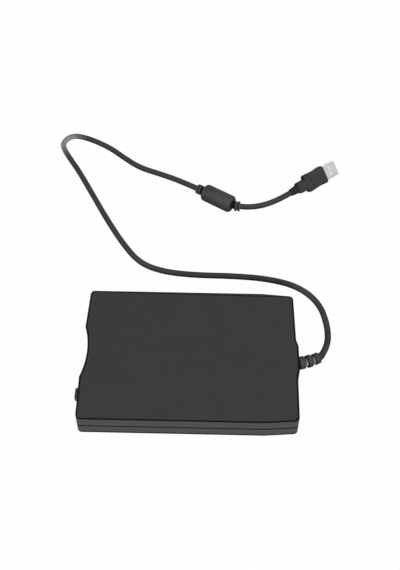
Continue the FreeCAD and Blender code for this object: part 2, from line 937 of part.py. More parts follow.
def front_bezel():
    body = new_body("front_bezel")
    half = "windowWidth / 2 - fitGap"
    plan = new_sketch(body, height="windowBottom + fitGap")
    back = "frontSetBack * (windowWidth / 2 - notchHalfWidth) / (halfWidth - notchHalfWidth)"
    outer = "-halfLength + bezelRecess"
    inner = "-halfLength + wall"
    points = [
        (f"{outer} + {back}", f"-({half})"),
        (f"{inner} + {back}", f"-({half})"),
        (inner, "-notchHalfWidth"),
        (f"{inner} + notchDepth", "-notchHalfWidth / 3"),
        (f"{inner} + notchDepth", "notchHalfWidth / 3"),
        (inner, "notchHalfWidth"),
        (f"{inner} + {back}", half),
        (f"{outer} + {back}", half),
        (outer, "notchHalfWidth"),
        (outer, "-notchHalfWidth"),
    ]
    outline(plan, points, {8: NOTCH_RADIUS})
    pad(body, plan, "windowHeight - 2 * fitGap")
    slot = new_sketch(body, "YZ_Plane", "windowReach")
    rectangle(slot, ("-slotHalf", "slotHalf"), ("slotBottom", "slotTop"))
    pocket(body, slot, "halfLength + windowReach + past")
    key_hole = new_sketch(body, "YZ_Plane", "windowReach")
    rectangle(
        key_hole,
        ("buttonLow - buttonPlay", "buttonHigh + buttonPlay"),
        ("buttonBottom - buttonPlay", "buttonTop + buttonPlay"),
    )
    pocket(body, key_hole, "halfLength + windowReach + past")
    lens_hole = new_sketch(body, "YZ_Plane", "windowReach")
    disc(lens_hole, ("ledSide", "ledHeight"), "ledRadius + ledPlay")
    pocket(body, lens_hole, "halfLength + windowReach + past")
    lugs = new_sketch(body, height="flapAxleZ - lugHalfHeight")
    for side in (-1, 1):
        rectangle(
            lugs,
            (f"{inner} - wall / 2", "flapX + lugHalfHeight"),
            (f"{side} * lugSpacing / 2 - lugWidth / 2", f"{side} * lugSpacing / 2 + lugWidth / 2"),
        )
    pad(body, lugs, "2 * lugHalfHeight")
    axle_hole = new_sketch(body, "XZ_Plane", "-lugSpacing")
    disc(axle_hole, ("flapX", "flapAxleZ"), "flapAxleRadius + ledPlay / 2")
    pocket(body, axle_hole, "2 * lugSpacing", backwards=True)


def rubber_feet():
    keep(
        "rubber_feet",
        group(*[rod("z", ("0", "footHeight + footSink"), place, "footRadius") for place in foot_places()]),
    )


def bottom_screw(place, head_bottom, tip):
    """A pan-head screw that goes in from below."""
    head = rod("z", (head_bottom, f"{head_bottom} + screwHeadHeight"), place, "screwHeadRadius")
    shank = rod("z", (f"{head_bottom} + screwHeadHeight", tip), place, "screwRadius")
    return fuse(head, shank)


def screws():
    head = "footHeight + caseBoreDepth - screwHeadHeight"
    tip = "footHeight + caseBoreDepth + caseScrewLength"
    keep("case_screws", group(*[bottom_screw(place, head, tip) for place in post_places()]))
    head = "footHeight + counterboreDepth - screwHeadHeight"
    keep("drive_mount_screws", group(*[bottom_screw(place, head, "deck") for place in mount_places()]))


# ---- front fittings ---------------------------------------------------------


def dust_flap():
    plate = box(
        ("flapX - flapThickness / 2", "flapX + flapThickness / 2"),
        ("-flapHalf", "flapHalf"),
        ("slotBottom + fitGap", "flapTop"),
    )
    room = "flapAxleZ - lugNotch"
    gaps = []
    for side in (-1, 1):
        low = f"{side} * lugSpacing / 2 - lugWidth"
        high = f"{side} * lugSpacing / 2 + lugWidth"
        gaps.append(box(("flapX - lugNotch", "flapX + lugNotch"), (low, high), (room, "flapTop + past")))
    spring_gap = ("-flapSpringLength / 2 - lugWidth / 2", "flapSpringLength / 2 + lugWidth / 2")
    gaps.append(box(("flapX - lugNotch", "flapX + lugNotch"), spring_gap, (room, "flapTop + past")))
    axle = rod("y", ("-flapHalf", "flapHalf"), ("flapX", "flapAxleZ"), "flapAxleRadius - axleShave")
    keep("dust_flap", fuse(cut(plate, *gaps), axle))


def flap_spring():
    """Wound round the flap's axle, with its tail on the bezel."""
    span = ("-flapSpringLength / 2", "flapSpringLength / 2")
    coil = tube("y", span, ("flapX", "flapAxleZ"), "flapSpringRadius", "flapAxleRadius + fitGap")
    tail = box(
        ("-halfLength + wall + notchDepth", "flapX"),
        ("-flapSpringLength / 2", "-flapSpringLength / 2 + springWire"),
        ("flapAxleZ + flapSpringRadius - springWire", "flapAxleZ + flapSpringRadius"),
    )
    keep("flap_spring", fuse(coil, tail))


def led_parts():
    keep(
        "led_lens",
        rod("x", ("-halfLength + bezelRecess", "boardFront - fitGap"), ("ledSide", "ledHeight"), "ledRadius"),
    )
    keep(
        "activity_led",
        box(
            ("boardFront", "boardFront + ledDepth"),
            ("ledSide - ledRadius", "ledSide + ledRadius"),
            ("deckBoard", "ledHeight + ledRadius"),
        ),
    )


def eject_button():
    body = new_body("eject_button")
    plan = new_sketch(body, height="buttonBottom")
    tip = "-halfLength - buttonReach"
    rectangle(plan, (tip, "sliderFront"), ("buttonLow", "buttonHigh"))
    pad(body, plan, "buttonHeight")
    fillet(body, "buttonRound", upright_at((tip, "buttonLow"), (tip, "buttonHigh")))


# ---- drive frame ------------------------------------------------------------


def pin_places():
    return ["pinX", "pinX + pinSpacing"]


def cover_screw_places():
    return [(f"coverScrewX + {k} * coverScrewSpacing", "coverScrewZ") for k in (0, 1)]


def cover_screw_holes(body):
    """Side holes right across the drive for the cover's screws."""
    holes = new_sketch(body, "XZ_Plane", "-chassisWidth")
    for place in cover_screw_places():
        disc(holes, place, "coverScrewRadius + fitGap")
    pocket(body, holes, "2 * chassisWidth", backwards=True)


def drive_chassis():
    body = new_body("drive_chassis")
    plate = new_sketch(body, height="chassisBottom")
    rectangle(plate, ("chassisFront", "chassisRear"), ("-chassisHalf", "chassisHalf"))
    pad(body, plate, "sideWallHeight")
    hollow = new_sketch(body, height="sideTop")
    inner = "chassisHalf - sideWall"
    rectangle(hollow, ("chassisFront - past", "chassisRear + past"), (f"-({inner})", inner))
    pocket(body, hollow, "sideTop - deck")
    rail_window = new_sketch(body, height="deck")
    rectangle(
        rail_window,
        ("diskEdgeX - railWindowFromEdge", "diskEdgeX - railWindowFromEdge + railWindowLength"),
        ("sideRailY + clampWidth / 2", "mainRailY - clampWidth / 2"),
    )
    pocket(body, rail_window, "sheet")
    slots = new_sketch(body, "XZ_Plane", "-chassisWidth")
    play = "pinRadius + pinPlay"
    for x in pin_places():
        rectangle(
            slots,
            (f"{x} - ({play})", f"{x} + ({play})"),
            (f"pinZ - diskLift - ({play})", f"pinZ + ({play})"),
        )
    pocket(body, slots, "2 * chassisWidth", backwards=True)
    holes = discs(body, "deck", mount_places(), "screwRadius + fitGap / 2")
    pocket(body, holes, "sheet")
    cover_screw_holes(body)
    hooks = new_sketch(body, height="deck")
    for side in (-1, 1):
        rectangle(
            hooks,
            ("springX - hookSheet", "springX"),
            (f"{side} * springSide - hookHalfWidth", f"{side} * springSide + hookHalfWidth"),
        )
    pad(body, hooks, "springHeight + springRadius")


def drive_cover():
    body = new_body("drive_cover")
    outer = "chassisHalf + coverThickness"
    plate = new_sketch(body, height="coverTop - coverFlange")
    rectangle(plate, ("coverFront", "coverFront + coverLength"), (f"-({outer})", outer))
    pad(body, plate, "coverFlange")
    hollow = new_sketch(body, height="coverBottom")
    hollow_span = ("coverFront - past", "coverFront + coverLength + past")
    rectangle(hollow, hollow_span, ("-chassisHalf", "chassisHalf"))
    pocket(body, hollow, "coverFlange - coverThickness")
    window = new_sketch(body, height="coverTop")
    rectangle(
        window,
        ("diskEdgeX + coverWindowPast - coverWindowLength", "diskEdgeX + coverWindowPast"),
        ("-coverWindowWidth / 2", "coverWindowWidth / 2"),
    )
    pocket(body, window, "coverThickness")
    cover_screw_holes(body)


def cover_screws():
    outer = "chassisHalf + coverThickness"
    inner = "chassisHalf - sideWall + fitGap"
    head = "coverScrewHeadHeight"
    found = []
    for place in cover_screw_places():
        far_shank = rod("y", (inner, outer), place, "coverScrewRadius")
        far_head = rod("y", (outer, f"{outer} + {head}"), place, "coverScrewHead")
        near_shank = rod("y", (f"-({outer})", f"-({inner})"), place, "coverScrewRadius")
        near_head = rod("y", (f"-({outer}) - {head}", f"-({outer})"), place, "coverScrewHead")
        found.extend([fuse(far_shank, far_head), fuse(near_shank, near_head)])
    keep("cover_screws", group(*found))


# ---- disk lift --------------------------------------------------------------


def eject_slider():
    rear = "sliderFront + sliderLength"
    play = "pinRadius + pinPlay"
    pieces = []
    for sign in (-1, 1):
        faces = sorted((f"{sign} * sliderInner", f"{sign} * sliderOuter"), key=size)
        wall = box(("sliderFront", rear), faces, ("sliderBottom", "sliderTop + sliderPlate"))
        slots = [slanted_slot(x, faces, play) for x in pin_places()]
        pieces.append(cut(wall, *slots))
        low, high = sorted((f"{sign} * (springSide - hookHalfWidth)", f"{sign} * sliderOuter"), key=size)
        hook_x = "springX + springLength"
        hook_level = ("deck + hookRise", "sliderBottom")
        pieces.append(box((hook_x, f"{hook_x} + hookSheet"), (low, high), hook_level))
    pieces.append(
        box(
            ("sliderPlateFront", "sliderPlateFront + sliderPlateLength"),
            ("-sliderOuter", "sliderOuter"),
            ("sliderTop", "sliderTop + sliderPlate"),
        )
    )
    pieces.append(
        box(
            ("sliderFront", "sliderFront + sliderArmLength"),
            ("-sliderOuter", "buttonHigh"),
            ("sliderBottom", "sliderBottom + sliderArmSheet"),
        )
    )
    keep("eject_slider", fuse(*pieces))


def slanted_slot(x, faces, play):
    """A slot that carries its pin down as the slide goes forward."""
    slope = "atan(diskLift / slideTravel)"
    run = "sqrt(diskLift * diskLift + slideTravel * slideTravel)"
    bar = doc.addObject("Part::Box", "SlotBar")
    bind(bar, "Length", run)
    bind(bar, "Width", f"({faces[1]}) - ({faces[0]}) + 2 * past")
    bind(bar, "Height", f"2 * ({play})")
    bar.Placement = Placement(Vector(), Rotation(Vector(0, 1, 0), size(slope)))
    bind(bar, "Placement.Rotation.Angle", slope)
    bind(bar, "Placement.Base.x", f"{x} - ({play}) * sin({slope})")
    bind(bar, "Placement.Base.y", f"({faces[0]}) - past")
    bind(bar, "Placement.Base.z", f"pinZ - ({play}) * cos({slope})")
    span = (f"({faces[0]}) - past", f"({faces[1]}) + past")
    first = rod("y", span, (x, "pinZ"), play)
    last = rod("y", span, (f"{x} + slideTravel", "pinZ - diskLift"), play)
    return fuse(bar, first, last)


def disk_holder():
    body = new_body("disk_holder")
    blank = new_sketch(body, height="raisedPlane - lipSheet")
    rectangle(blank, ("holderFront", "holderRear"), ("-holderOuter", "holderOuter"))
    pad(body, blank, "holderTop - raisedPlane + lipSheet")
    bay = new_sketch(body, height="holderUnder")
    rectangle(bay, ("holderFront - past", "holderRear + past"), ("-holderInner", "holderInner"))
    pocket(body, bay, "holderUnder - raisedPlane")
    under = new_sketch(body, height="raisedPlane")
    open_half = "diskHalf - lipOverlap"
    rectangle(under, ("holderFront - past", "holderRear + past"), (f"-({open_half})", open_half))
    pocket(body, under, "lipSheet")
    ear = new_sketch(body, height="holderUnder")
    rectangle(
        ear,
        ("holderRear - past", "leverX + leverHub"),
        ("leverPivotY - 2 * leverHub", "holderInner"),
    )
    pad(body, ear, "holderSheet")
    head_cut = new_sketch(body, height="holderTop")
    half = "holderCutWidth / 2"
    rectangle(head_cut, ("holderRear - holderCutLength", "holderRear + past"), (f"-{half}", half))
    pocket(body, head_cut, "holderSheet")
    corner_cut = new_sketch(body, height="holderTop")
    corner_span = ("leverX - cornerCutLength", "holderRear + past")
    rectangle(corner_cut, corner_span, ("0", f"{half} + cornerCutPast"))
    pocket(body, corner_cut, "holderSheet")
    lever_slot(body)
    pivot_hole = discs(body, "holderTop", [("leverX", "leverPivotY")], "pivotPinRadius + pressGap")
    pocket(body, pivot_hole, "holderSheet")
    for side in (-1, 1):
        pins = new_sketch(body, "XZ_Plane", f"{side} * holderOuter")
        for x in pin_places():
            disc(pins, (x, "pinZ"), "pinRadius")
        studs = pad(body, pins, "pinEnd - holderOuter")
        studs.Reversed = side < 0
        doc.recompute()


def lever_slot(body):
    """The curved slot that the shutter lever's pin runs in."""
    sketch = new_sketch(body, height="holderTop")
    outer = "leverLength + leverPinRadius + leverSlotPlay"
    inner = "leverLength - leverPinRadius - leverSlotPlay"
    start = "leverRestAngle - leverSlotSpare"
    end = "leverRestAngle + leverTurn + leverSlotSpare"

    def spot(radius, angle):
        return (f"leverX - ({radius}) * cos({angle})", f"leverPivotY - ({radius}) * sin({angle})")

    ring_slot(sketch, spot, outer, inner, start, end)
    pocket(body, sketch, "holderSheet")


def ring_slot(sketch, spot, outer, inner, start, end):
    centre = Vector(size("leverX"), size("leverPivotY"), 0)
    first = math.pi + math.radians(size(start))
    last = math.pi + math.radians(size(end))
    wide = sketch.addGeometry(
        Part.ArcOfCircle(Part.Circle(centre, Vector(0, 0, 1), size(outer)), first, last), False
    )
    tight = sketch.addGeometry(
        Part.ArcOfCircle(Part.Circle(centre, Vector(0, 0, 1), size(inner)), first, last), False
    )

    def end_line(angle):
        ends = [Vector(size(x), size(y), 0) for x, y in (spot(outer, angle), spot(inner, angle))]
        return sketch.addGeometry(Part.LineSegment(*ends), False)

    start_line = end_line(start)
    last_line = end_line(end)
    for pair in (
        (wide, 1, start_line, 1),
        (wide, 2, last_line, 1),
        (tight, 1, start_line, 2),
        (tight, 2, last_line, 2),
    ):
        sketch.addConstraint(Sketcher.Constraint("Coincident", *pair))
    pin_point(sketch, start_line, 1, spot(outer, start))
    pin_point(sketch, start_line, 2, spot(inner, start))
    pin_point(sketch, last_line, 1, spot(outer, end))
    pin_point(sketch, last_line, 2, spot(inner, end))
    pin_radius(sketch, wide, outer)
    pin_radius(sketch, tight, inner)


def shutter_lever():
    """Built along -X from its pivot, then turned to its rest angle."""
    blade = box(("-leverLength", "0"), ("-leverTip", "leverTip"), ("0", "leverSheet"))
    hub = rod("z", ("0", "leverSheet"), ("0", "0"), "leverHub")
    tip = rod("z", ("0", "leverSheet"), ("-leverLength", "0"), "leverTip")
    pin = rod("z", ("-leverPinDrop", "0"), ("-leverLength", "0"), "leverPinRadius")
    hole = rod("z", ("-past", "leverSheet + past"), ("0", "0"), "pivotPinRadius + pivotPinPlay")
    lever = keep("shutter_lever", cut(fuse(blade, hub, tip, pin), hole))
    lever.Placement = Placement(Vector(), Rotation(Vector(0, 0, 1), size("leverRestAngle")))
    bind(lever, "Placement.Rotation.Angle", "leverRestAngle")
    for letter, place in zip("xyz", ("leverX", "leverPivotY", "leverBottom")):
        bind(lever, f"Placement.Base.{letter}", place)


def lever_fixings():
    place = ("leverX", "leverPivotY")
    rise = "leverTop + leverSpringHeight + 2 * fitGap"
    shank = rod("z", ("holderUnder", rise), place, "pivotPinRadius")
    head = rod("z", (rise, f"{rise} + pivotHeadHeight"), place, "pivotHead")
    keep("lever_pivot_pin", fuse(shank, head))
    span = ("leverTop + fitGap", "leverTop + fitGap + leverSpringHeight")
    keep("lever_spring", tube("z", span, place, "pivotHead - fitGap", "pivotPinRadius + fitGap"))


def eject_springs():
    coils = []
    for side in (-1, 1):
        span = ("springX", "springX + springLength")
        place = (f"{side} * springSide", "springZ")
        coils.append(tube("x", span, place, "springRadius", "springBore"))
    keep("eject_springs", group(*coils))


# ---- spindle motor ----------------------------------------------------------


def spindle_place():
    return ("spindleX", "0")


def motor_board():
    plate = box(
        ("boardFront", "boardFront + boardLength"),
        ("-boardWidth / 2", "boardWidth / 2"),
        ("deck", "deckBoard"),
    )
    middle = rod("z", ("deck - past", "deckBoard + past"), spindle_place(), "boardHole")
    keep("motor_board", cut(plate, middle))


def motor_stator():
    """The coil ring under the rotor: a core with coils round it."""
    body = new_body("motor_stator")
    core = new_sketch(body, height="deckBoard")
    disc(core, spindle_place(), "statorCore")
    disc(core, spindle_place(), "statorInner")
    pad(body, core, "statorHeight / 2")
    coil = new_sketch(body, height="deckBoard")
    half = "coilWidth / 2"
    rectangle(coil, ("spindleX + coilStart", "spindleX + statorOuter"), (f"-{half}", half))
    first = pad(body, coil, "statorHeight")
    count = int(round(size("coilCount")))
    for k in range(1, count):
        turned_coil(body, k, count)
    return first


def turned_coil(body, k, count):
    """One coil of the ring, turned about the spindle."""
    sketch = new_sketch(body, height="deckBoard")
    angle = f"{k} * 360 / {count}"
    inner, outer, half = "coilStart", "statorOuter", "coilWidth / 2"

    def spot(along, across):
        return (
            f"spindleX + ({along}) * cos({angle}) - ({across}) * sin({angle})",
            f"({along}) * sin({angle}) + ({across}) * cos({angle})",
        )

    outline(sketch, [spot(inner, f"-{half}"), spot(outer, f"-{half}"), spot(outer, half), spot(inner, half)])
    pad(body, sketch, "statorHeight")


def spindle_bearing():
    span = ("deck", "rotorUnder - fitGap")
    bore = "shaftRadius + shaftPlay"
    keep("spindle_bearing", tube("z", span, spindle_place(), "bearingRadius", bore))


def spindle_rotor():
    place = spindle_place()
    plate = rod("z", ("rotorUnder", "rotorTop"), place, "rotorRadius")
    rim = tube("z", ("rotorFoot", "rotorUnder"), place, "rotorRadius", "rotorRadius - rotorRim")
    shaft_hole = rod("z", ("rotorFoot", "rotorTop + past"), place, "shaftRadius + pressGap")
    pin_hole = rod(
        "z",
        ("rotorFoot", "rotorTop + past"),
        ("spindleX + drivePinRing", "0"),
        "drivePinRadius + drivePinPlay",
    )
    keep("spindle_rotor", cut(fuse(plate, rim), shaft_hole, pin_hole))
    magnet_outer = "rotorRadius - rotorRim - magnetGap"
    keep(
        "rotor_magnet",
        tube("z", ("rotorFoot", "rotorUnder"), place, magnet_outer, f"{magnet_outer} - magnetThickness"),
    )
    keep("spindle_shaft", rod("z", ("deck + fitGap", "diskPlane + shaftTip"), place, "shaftRadius"))


def spindle_hub():
    place = spindle_place()
    plate = rod("z", ("rotorTop", "rotorTop + hubHeight"), place, "hubRadius")
    bore = ("rotorTop - past", "diskPlane + past")
    shaft_hole = rod("z", bore, place, "shaftRadius + pressGap")
    pin_place = ("spindleX + drivePinRing", "0")
    pin_hole = rod("z", bore, pin_place, "drivePinRadius + drivePinPlay")
    keep("spindle_hub", cut(plate, shaft_hole, pin_hole))
    keep("drive_pin", rod("z", ("drivePinFoot", "diskPlane + drivePinRise"), pin_place, "drivePinRadius"))


# ---- head carriage ----------------------------------------------------------


def head_carriage():
    base = box(("baseX", "baseRear"), ("-baseHalfLow", "baseHalfHigh"), ("baseUnder", "baseUpper"))
    nose_tip = "headX - noseTipX"
    nose_under = "baseUpper - noseSink"
    nose = box((nose_tip, "baseX + past"), ("-noseWidth / 2", "noseWidth / 2"), (nose_under, "noseTop"))
    along = ("towerX", "towerRear")
    tower = box(along, ("-towerHalfWidth", "towerHalfWidth"), ("baseUpper", "cheekFoot"))
    cheeks = [
        box(along, ("-towerHalfWidth", "-cheekInner"), ("cheekFoot", "hingeTop")),
        box(along, ("cheekInner", "towerHalfWidth"), ("cheekFoot", "hingeTop")),
    ]
    flag = box(
        ("towerRear - flagLength", "towerRear"),
        ("-sensorSide - sensorWidth / 2", "-baseHalfLow"),
        ("sensorMiddle - flagSheet / 2", "sensorMiddle + flagSheet / 2"),
    )
    link = box(
        ("followerX", "followerX + followerThickness"),
        ("baseHalfHigh - past", "screwY + followerReach"),
        ("bracketFootTop + earGap", "baseUpper"),
    )
    nut = box(
        ("followerX", "followerX + followerThickness"),
        ("screwY - followerReach", "screwY + followerReach"),
        ("baseUpper", "screwZ + threadRadius + nutWall"),
    )
    joined = fuse(base, nose, tower, *cheeks, flag, link, nut)
    long_span = ("baseX - past", "baseRear + past")
    across = ("-towerHalfWidth - past", "towerHalfWidth + past")
    nut_span = ("followerX - past", "followerX + followerThickness + past")
    bores = [
        rod("x", long_span, ("mainRailY", "railZ"), "railRadius + railPlay"),
        rod("x", long_span, ("sideRailY", "railZ"), "railRadius + railPlay"),
        rod("x", nut_span, ("screwY", "screwZ"), "threadRadius + nutPlay"),
        rod("y", across, ("hingeX", "hingeZ"), "hingePinRadius + hingePlay"),
    ]
    keep("head_carriage", cut(joined, *bores))
    keep(
        "lower_head",
        box(
            ("headX - headLength / 2", "headX + headLength / 2"),
            ("-headWidth / 2", "headWidth / 2"),
            ("noseTop", "mediaPlane"),
        ),
    )


def place_on_hinge(thing):
    """Carries a piece of the upper arm to the hinge, lifted to its rest angle."""
    thing.Placement = Placement(Vector(), Rotation(Vector(0, 1, 0), size("armLift")))
    bind(thing, "Placement.Rotation.Angle", "armLift")
    for letter, place in zip("xyz", ("hingeX", "0", "hingeZ")):
        bind(thing, f"Placement.Base.{letter}", place)


def upper_arm():
    """The upper arm and its head, built level about the hinge line."""
    reach = "hingeX - headX"
    tip = f"-({reach}) - armTipReach"
    level = ("armBottom", "armBottom + armSheet")
    plate = box((tip, "0"), ("-armTipHalfWidth", "armTipHalfWidth"), level)
    root = box((f"-({reach}) / 2", "0"), ("-armHalfWidth", "armHalfWidth"), level)
    barrel = rod("y", ("-armHalfWidth", "armHalfWidth"), ("0", "0"), "hubOuter")
    pin = rod("y", ("-towerHalfWidth + fitGap", "towerHalfWidth - fitGap"), ("0", "0"), "hingePinRadius")
    arm = keep("upper_head_arm", fuse(plate, root, barrel, pin))
    place_on_hinge(arm)
    slab = box(
        (f"-({reach}) - headLength / 2", f"-({reach}) + headLength / 2"),
        ("-headWidth / 2", "headWidth / 2"),
        ("mediaPlane + headGap - hingeZ", "armBottom"),
    )
    place_on_hinge(keep("upper_head", carried(slab)))


def guide_rails():
    for label, y in (("guide_rail_main", "mainRailY"), ("guide_rail_side", "sideRailY")):
        keep(label, rod("x", ("railFront", "railRear"), (y, "railZ"), "railRadius"))
    clamps = []
    for y in ("mainRailY", "sideRailY"):
        for x in ("railFront", "railRear - clampLength"):
            block = box(
                (x, f"{x} + clampLength"),
                (f"{y} - clampWidth / 2", f"{y} + clampWidth / 2"),
                ("deck", "railZ + railRadius + clampWall"),
            )
            span = (f"{x} - past", f"{x} + clampLength + past")
            clamps.append(cut(block, rod("x", span, (y, "railZ"), "railRadius + pressGap")))
    keep("rail_clamps", group(*clamps))


def head_drive():
    place = ("screwY", "screwZ")
    can = rod("x", ("stepperX", "stepperX + stepperLength"), place, "stepperRadius")
    socket_end = "stepperX + journalLength + fitGap"
    socket = rod("x", ("stepperX - past", socket_end), place, "journalRadius + journalPlay")
    keep("stepper_motor", cut(can, socket))
    journal_front = rod("x", ("earX - fitGap", "threadX"), place, "journalRadius")
    thread = rod("x", ("threadX", "threadEnd"), place, "threadRadius")
    journal_rear = rod("x", ("threadEnd", "stepperX + journalLength"), place, "journalRadius")
    keep("lead_screw", fuse(journal_front, thread, journal_rear))
    half = "bracketWidth / 2"
    wide = (f"screwY - {half}", f"screwY + {half}")
    narrow = ("screwY - earHalfWidth", "screwY + earHalfWidth")
    foot = box(("earX", "stepperX"), narrow, ("deck", "bracketFootTop"))
    face = box(("stepperX - bracketSheet", "stepperX"), wide, ("deck", "screwZ + stepperRadius"))
    ear = box(("earX", "earX + bracketSheet"), narrow, ("deck", "screwZ + threadRadius"))
    ear_hole = rod("x", ("earX - past", "earX + past"), place, "journalRadius + journalPlay")
    face_span = ("stepperX - bracketSheet - past", "stepperX + past")
    face_hole = rod("x", face_span, place, "threadRadius + fitGap")
    keep("stepper_bracket", cut(fuse(foot, face, ear), ear_hole, face_hole))


def track_zero_sensor():
    low, high = "-sensorSide - sensorWidth", "-sensorSide"
    block = box(("sensorX", "sensorX + sensorLength"), (low, high), ("deck", "deck + sensorHeight"))
    slot = box(
        ("sensorX - past", "sensorX + sensorLength + past"),
        (f"{low} + sensorBack", f"{high} + past"),
        ("sensorMiddle - sensorSlot / 2", "sensorMiddle + sensorSlot / 2"),
    )
    keep("track_zero_sensor", cut(block, slot))


# ---- sensing switches -------------------------------------------------------


def switch(name, side):
    half = "switchWidth / 2"
    body = box(
        ("switchX - switchLength / 2", "switchX + switchLength / 2"),
        (f"{side} - {half}", f"{side} + {half}"),
        ("deckBoard", "switchTop"),
    )
    place = ("switchX", side)
    depth = ("plungerFoot - plungerTravel - fitGap", "switchTop + past")
    well = rod("z", depth, place, "plungerRadius + plungerPlay")
    keep(f"{name}_switch", cut(body, well))
    keep(f"{name}_plunger", rod("z", ("plungerFoot", "plungerTop"), place, "plungerRadius"))


# ---- interface board --------------------------------------------------------


def usb_board():
    plate = box(("usbFront", "usbRear"), ("-usbHalf", "usbHalf"), ("usbUnder", "usbTop"))
    flange_room = "reliefFlange + buttonPlay"
    notch = box(
        ("rearInner - reliefFlangeDepth - buttonPlay", "usbRear + past"),
        (f"exitY - ({flange_room})", f"exitY + {flange_room}"),
        ("usbUnder - past", "usbTop + past"),
    )
    keep("usb_board", cut(plate, notch))
    half = "chipSide / 2"
    middle = "(usbFront + usbRear) / 2"
    keep(
        "usb_controller_chip",
        box(
            (f"{middle} - {half}", f"{middle} + {half}"),
            (f"chipMiddle - {half}", f"chipMiddle + {half}"),
            ("usbTop", "usbTop + chipHeight"),
        ),
    )
    crystal_low = f"chipMiddle - {half} - crystalLength - crystalGap"
    parts = [
        box(
            (f"{middle} - crystalWidth / 2", f"{middle} + crystalWidth / 2"),
            (crystal_low, f"{crystal_low} + crystalLength"),
            ("usbTop", "usbTop + crystalHeight"),
        )
    ]
    for k in range(3):
        place = (middle, f"-usbHalf + ({k} + 1) * canPitch")
        parts.append(rod("z", ("usbTop", "usbTop + canHeight"), place, "canRadius"))
    for k in range(4):
        low = f"chipMiddle + {half} + ({k} + 1) * stripPitch"
        parts.append(
            box(
                (f"{middle} - stripLength / 2", f"{middle} + stripLength / 2"),
                (low, f"{low} + stripPitch / 2"),
                ("usbTop", "usbTop + stripPitch / 2"),
            )
        )
    keep("board_parts", group(*parts))
    keep(
        "cable_header",
        box(
            ("usbRear - headerSetIn - headerDepth", "usbRear - headerSetIn"),
            ("exitY - headerWidth / 2", "exitY + headerWidth / 2"),
            ("usbTop", "usbTop + headerHeight"),
        ),
    )


def drive_ribbon():
    """Flat cable from the motor board's rear socket to the interface board."""
    low, high = "ribbonMiddle - ribbonWidth / 2", "ribbonMiddle + ribbonWidth / 2"
    rear_socket = box(
        ("usbFront", "usbFront + socketDepth"),
        (f"{low} - socketEnd", f"{high} + socketEnd"),
        ("usbTop", "usbTop + socketHeight"),
    )
    front_low = "chassisRear - ribbonSetIn - socketDepth"
    low_drive = "screwY + stepperRadius + socketEnd / 2"
    front_socket = box(
        (front_low, f"{front_low} + socketDepth"),
        (low_drive, f"{high} + socketEnd"),
        ("deck", "deck + socketHeight"),
    )
    keep("ribbon_sockets", group(rear_socket, front_socket))
    wide = (f"{low_drive} + socketEnd", high)
    low_level = "deck + ribbonRise"
    high_level = "usbTop + ribbonRise"
    bend = ("usbFront - 2 * ribbonSheet", "usbFront - ribbonSheet")
    flat = box(
        (f"{front_low} + socketDepth", bend[1]),
        wide,
        (low_level, f"{low_level} + ribbonSheet"),
    )
    rise = box(bend, wide, (low_level, f"{high_level} + ribbonSheet"))
    tail = box((bend[0], "usbFront"), wide, (high_level, f"{high_level} + ribbonSheet"))
    keep("drive_ribbon", fuse(flat, rise, tail))


# ---- cable ------------------------------------------------------------------


def rounded_path(points, report=""):
    """Straight runs joined by tangent arcs, and the smallest arc radius."""
    spots = [Vector(*p) for p in points]
    edges = []
    here = spots[0]
    smallest = None
    for k in range(1, len(spots) - 1):
        into = spots[k] - spots[k - 1]
        out = spots[k + 1] - spots[k]
        shorter = min(into.Length, out.Length)
        into.normalize()
        out.normalize()
        turn = math.acos(max(-1.0, min(1.0, into.dot(out))))
        reach = ARC_SHARE * shorter
        radius = reach / math.tan(turn / 2)
        smallest = radius if smallest is None else min(smallest, radius)
        first = spots[k] - into * reach
        last = spots[k] + out * reach
        inward = (out - into).normalize()
        middle = spots[k] + inward * (radius / math.cos(turn / 2) - radius)
        edges.append(Part.LineSegment(here, first).toShape())
        edges.append(Part.Arc(first, middle, last).toShape())
        here = last
    edges.append(Part.LineSegment(here, spots[-1]).toShape())
    if report:
        print(f"{report}: smallest radius {smallest:.1f} mm")
    return Part.Wire(edges)


def tube_along(points, radius, report=""):
    """A round bar along a rounded path, checked against section times length."""
    path = rounded_path(points, report)
    start = Vector(*points[0])
    heading = (Vector(*points[1]) - start).normalize()
    section = Part.Wire(Part.makeCircle(radius, start, heading))
    bar = path.makePipeShell([section], True, True)
    wanted = math.pi * radius * radius * path.Length
    if abs(bar.Volume - wanted) > VOLUME_SHARE * wanted:
        raise RuntimeError(f"{report}: the swept bar has the wrong volume")
    if report:
        print(f"{report}: {path.Length:.1f} mm long")
    return bar


def free_shape(label, shape):
    feature = doc.addObject("Part::Feature", "Free")
    feature.Shape = shape
    feature.Placement = Placement()
    return keep(label, feature)


def ring_at(place, heading, radius, length):
    """A short cylinder centred on a place."""
    heading = Vector(*heading).normalize()
    start = Vector(*place) - heading * (length / 2)
    return Part.makeCylinder(radius, length, start, heading)


def strain_relief():
    exit_place = (size("exitX"), size("exitY"), size("exitZ"))
    inside = (size("rearInner") - size("reliefFlangeDepth"), exit_place[1], exit_place[2])
    outside = (exit_place[0] + size("reliefLead"), exit_place[1], exit_place[2])
    route = [inside, outside, *RELIEF_BEND, CORD_A[0]]
    bar = tube_along(route, size("reliefCore"))
    flange = Part.makeCylinder(
        size("reliefFlange"), size("reliefFlangeDepth"), Vector(*inside), Vector(1, 0, 0)
    )
    neck_start = Vector(*inside)
    neck_length = exit_place[0] - inside[0]
    neck = Part.makeCylinder(size("reliefNeck"), neck_length, neck_start, Vector(1, 0, 0))
    rings = []
    centres = [outside, *RELIEF_BEND, CORD_A[0]]
    for k in range(3):
        start, end = Vector(*centres[k]), Vector(*centres[k + 1])
        middle = (start + end) / 2
        radius = size("reliefRing") - k * size("reliefRingTaper")
        rings.append(ring_at(tuple(middle), tuple(end - start), radius, size("reliefRingLength")))
    free_shape("strain_relief", bar.multiFuse([flange, neck, *rings]).removeSplitter())


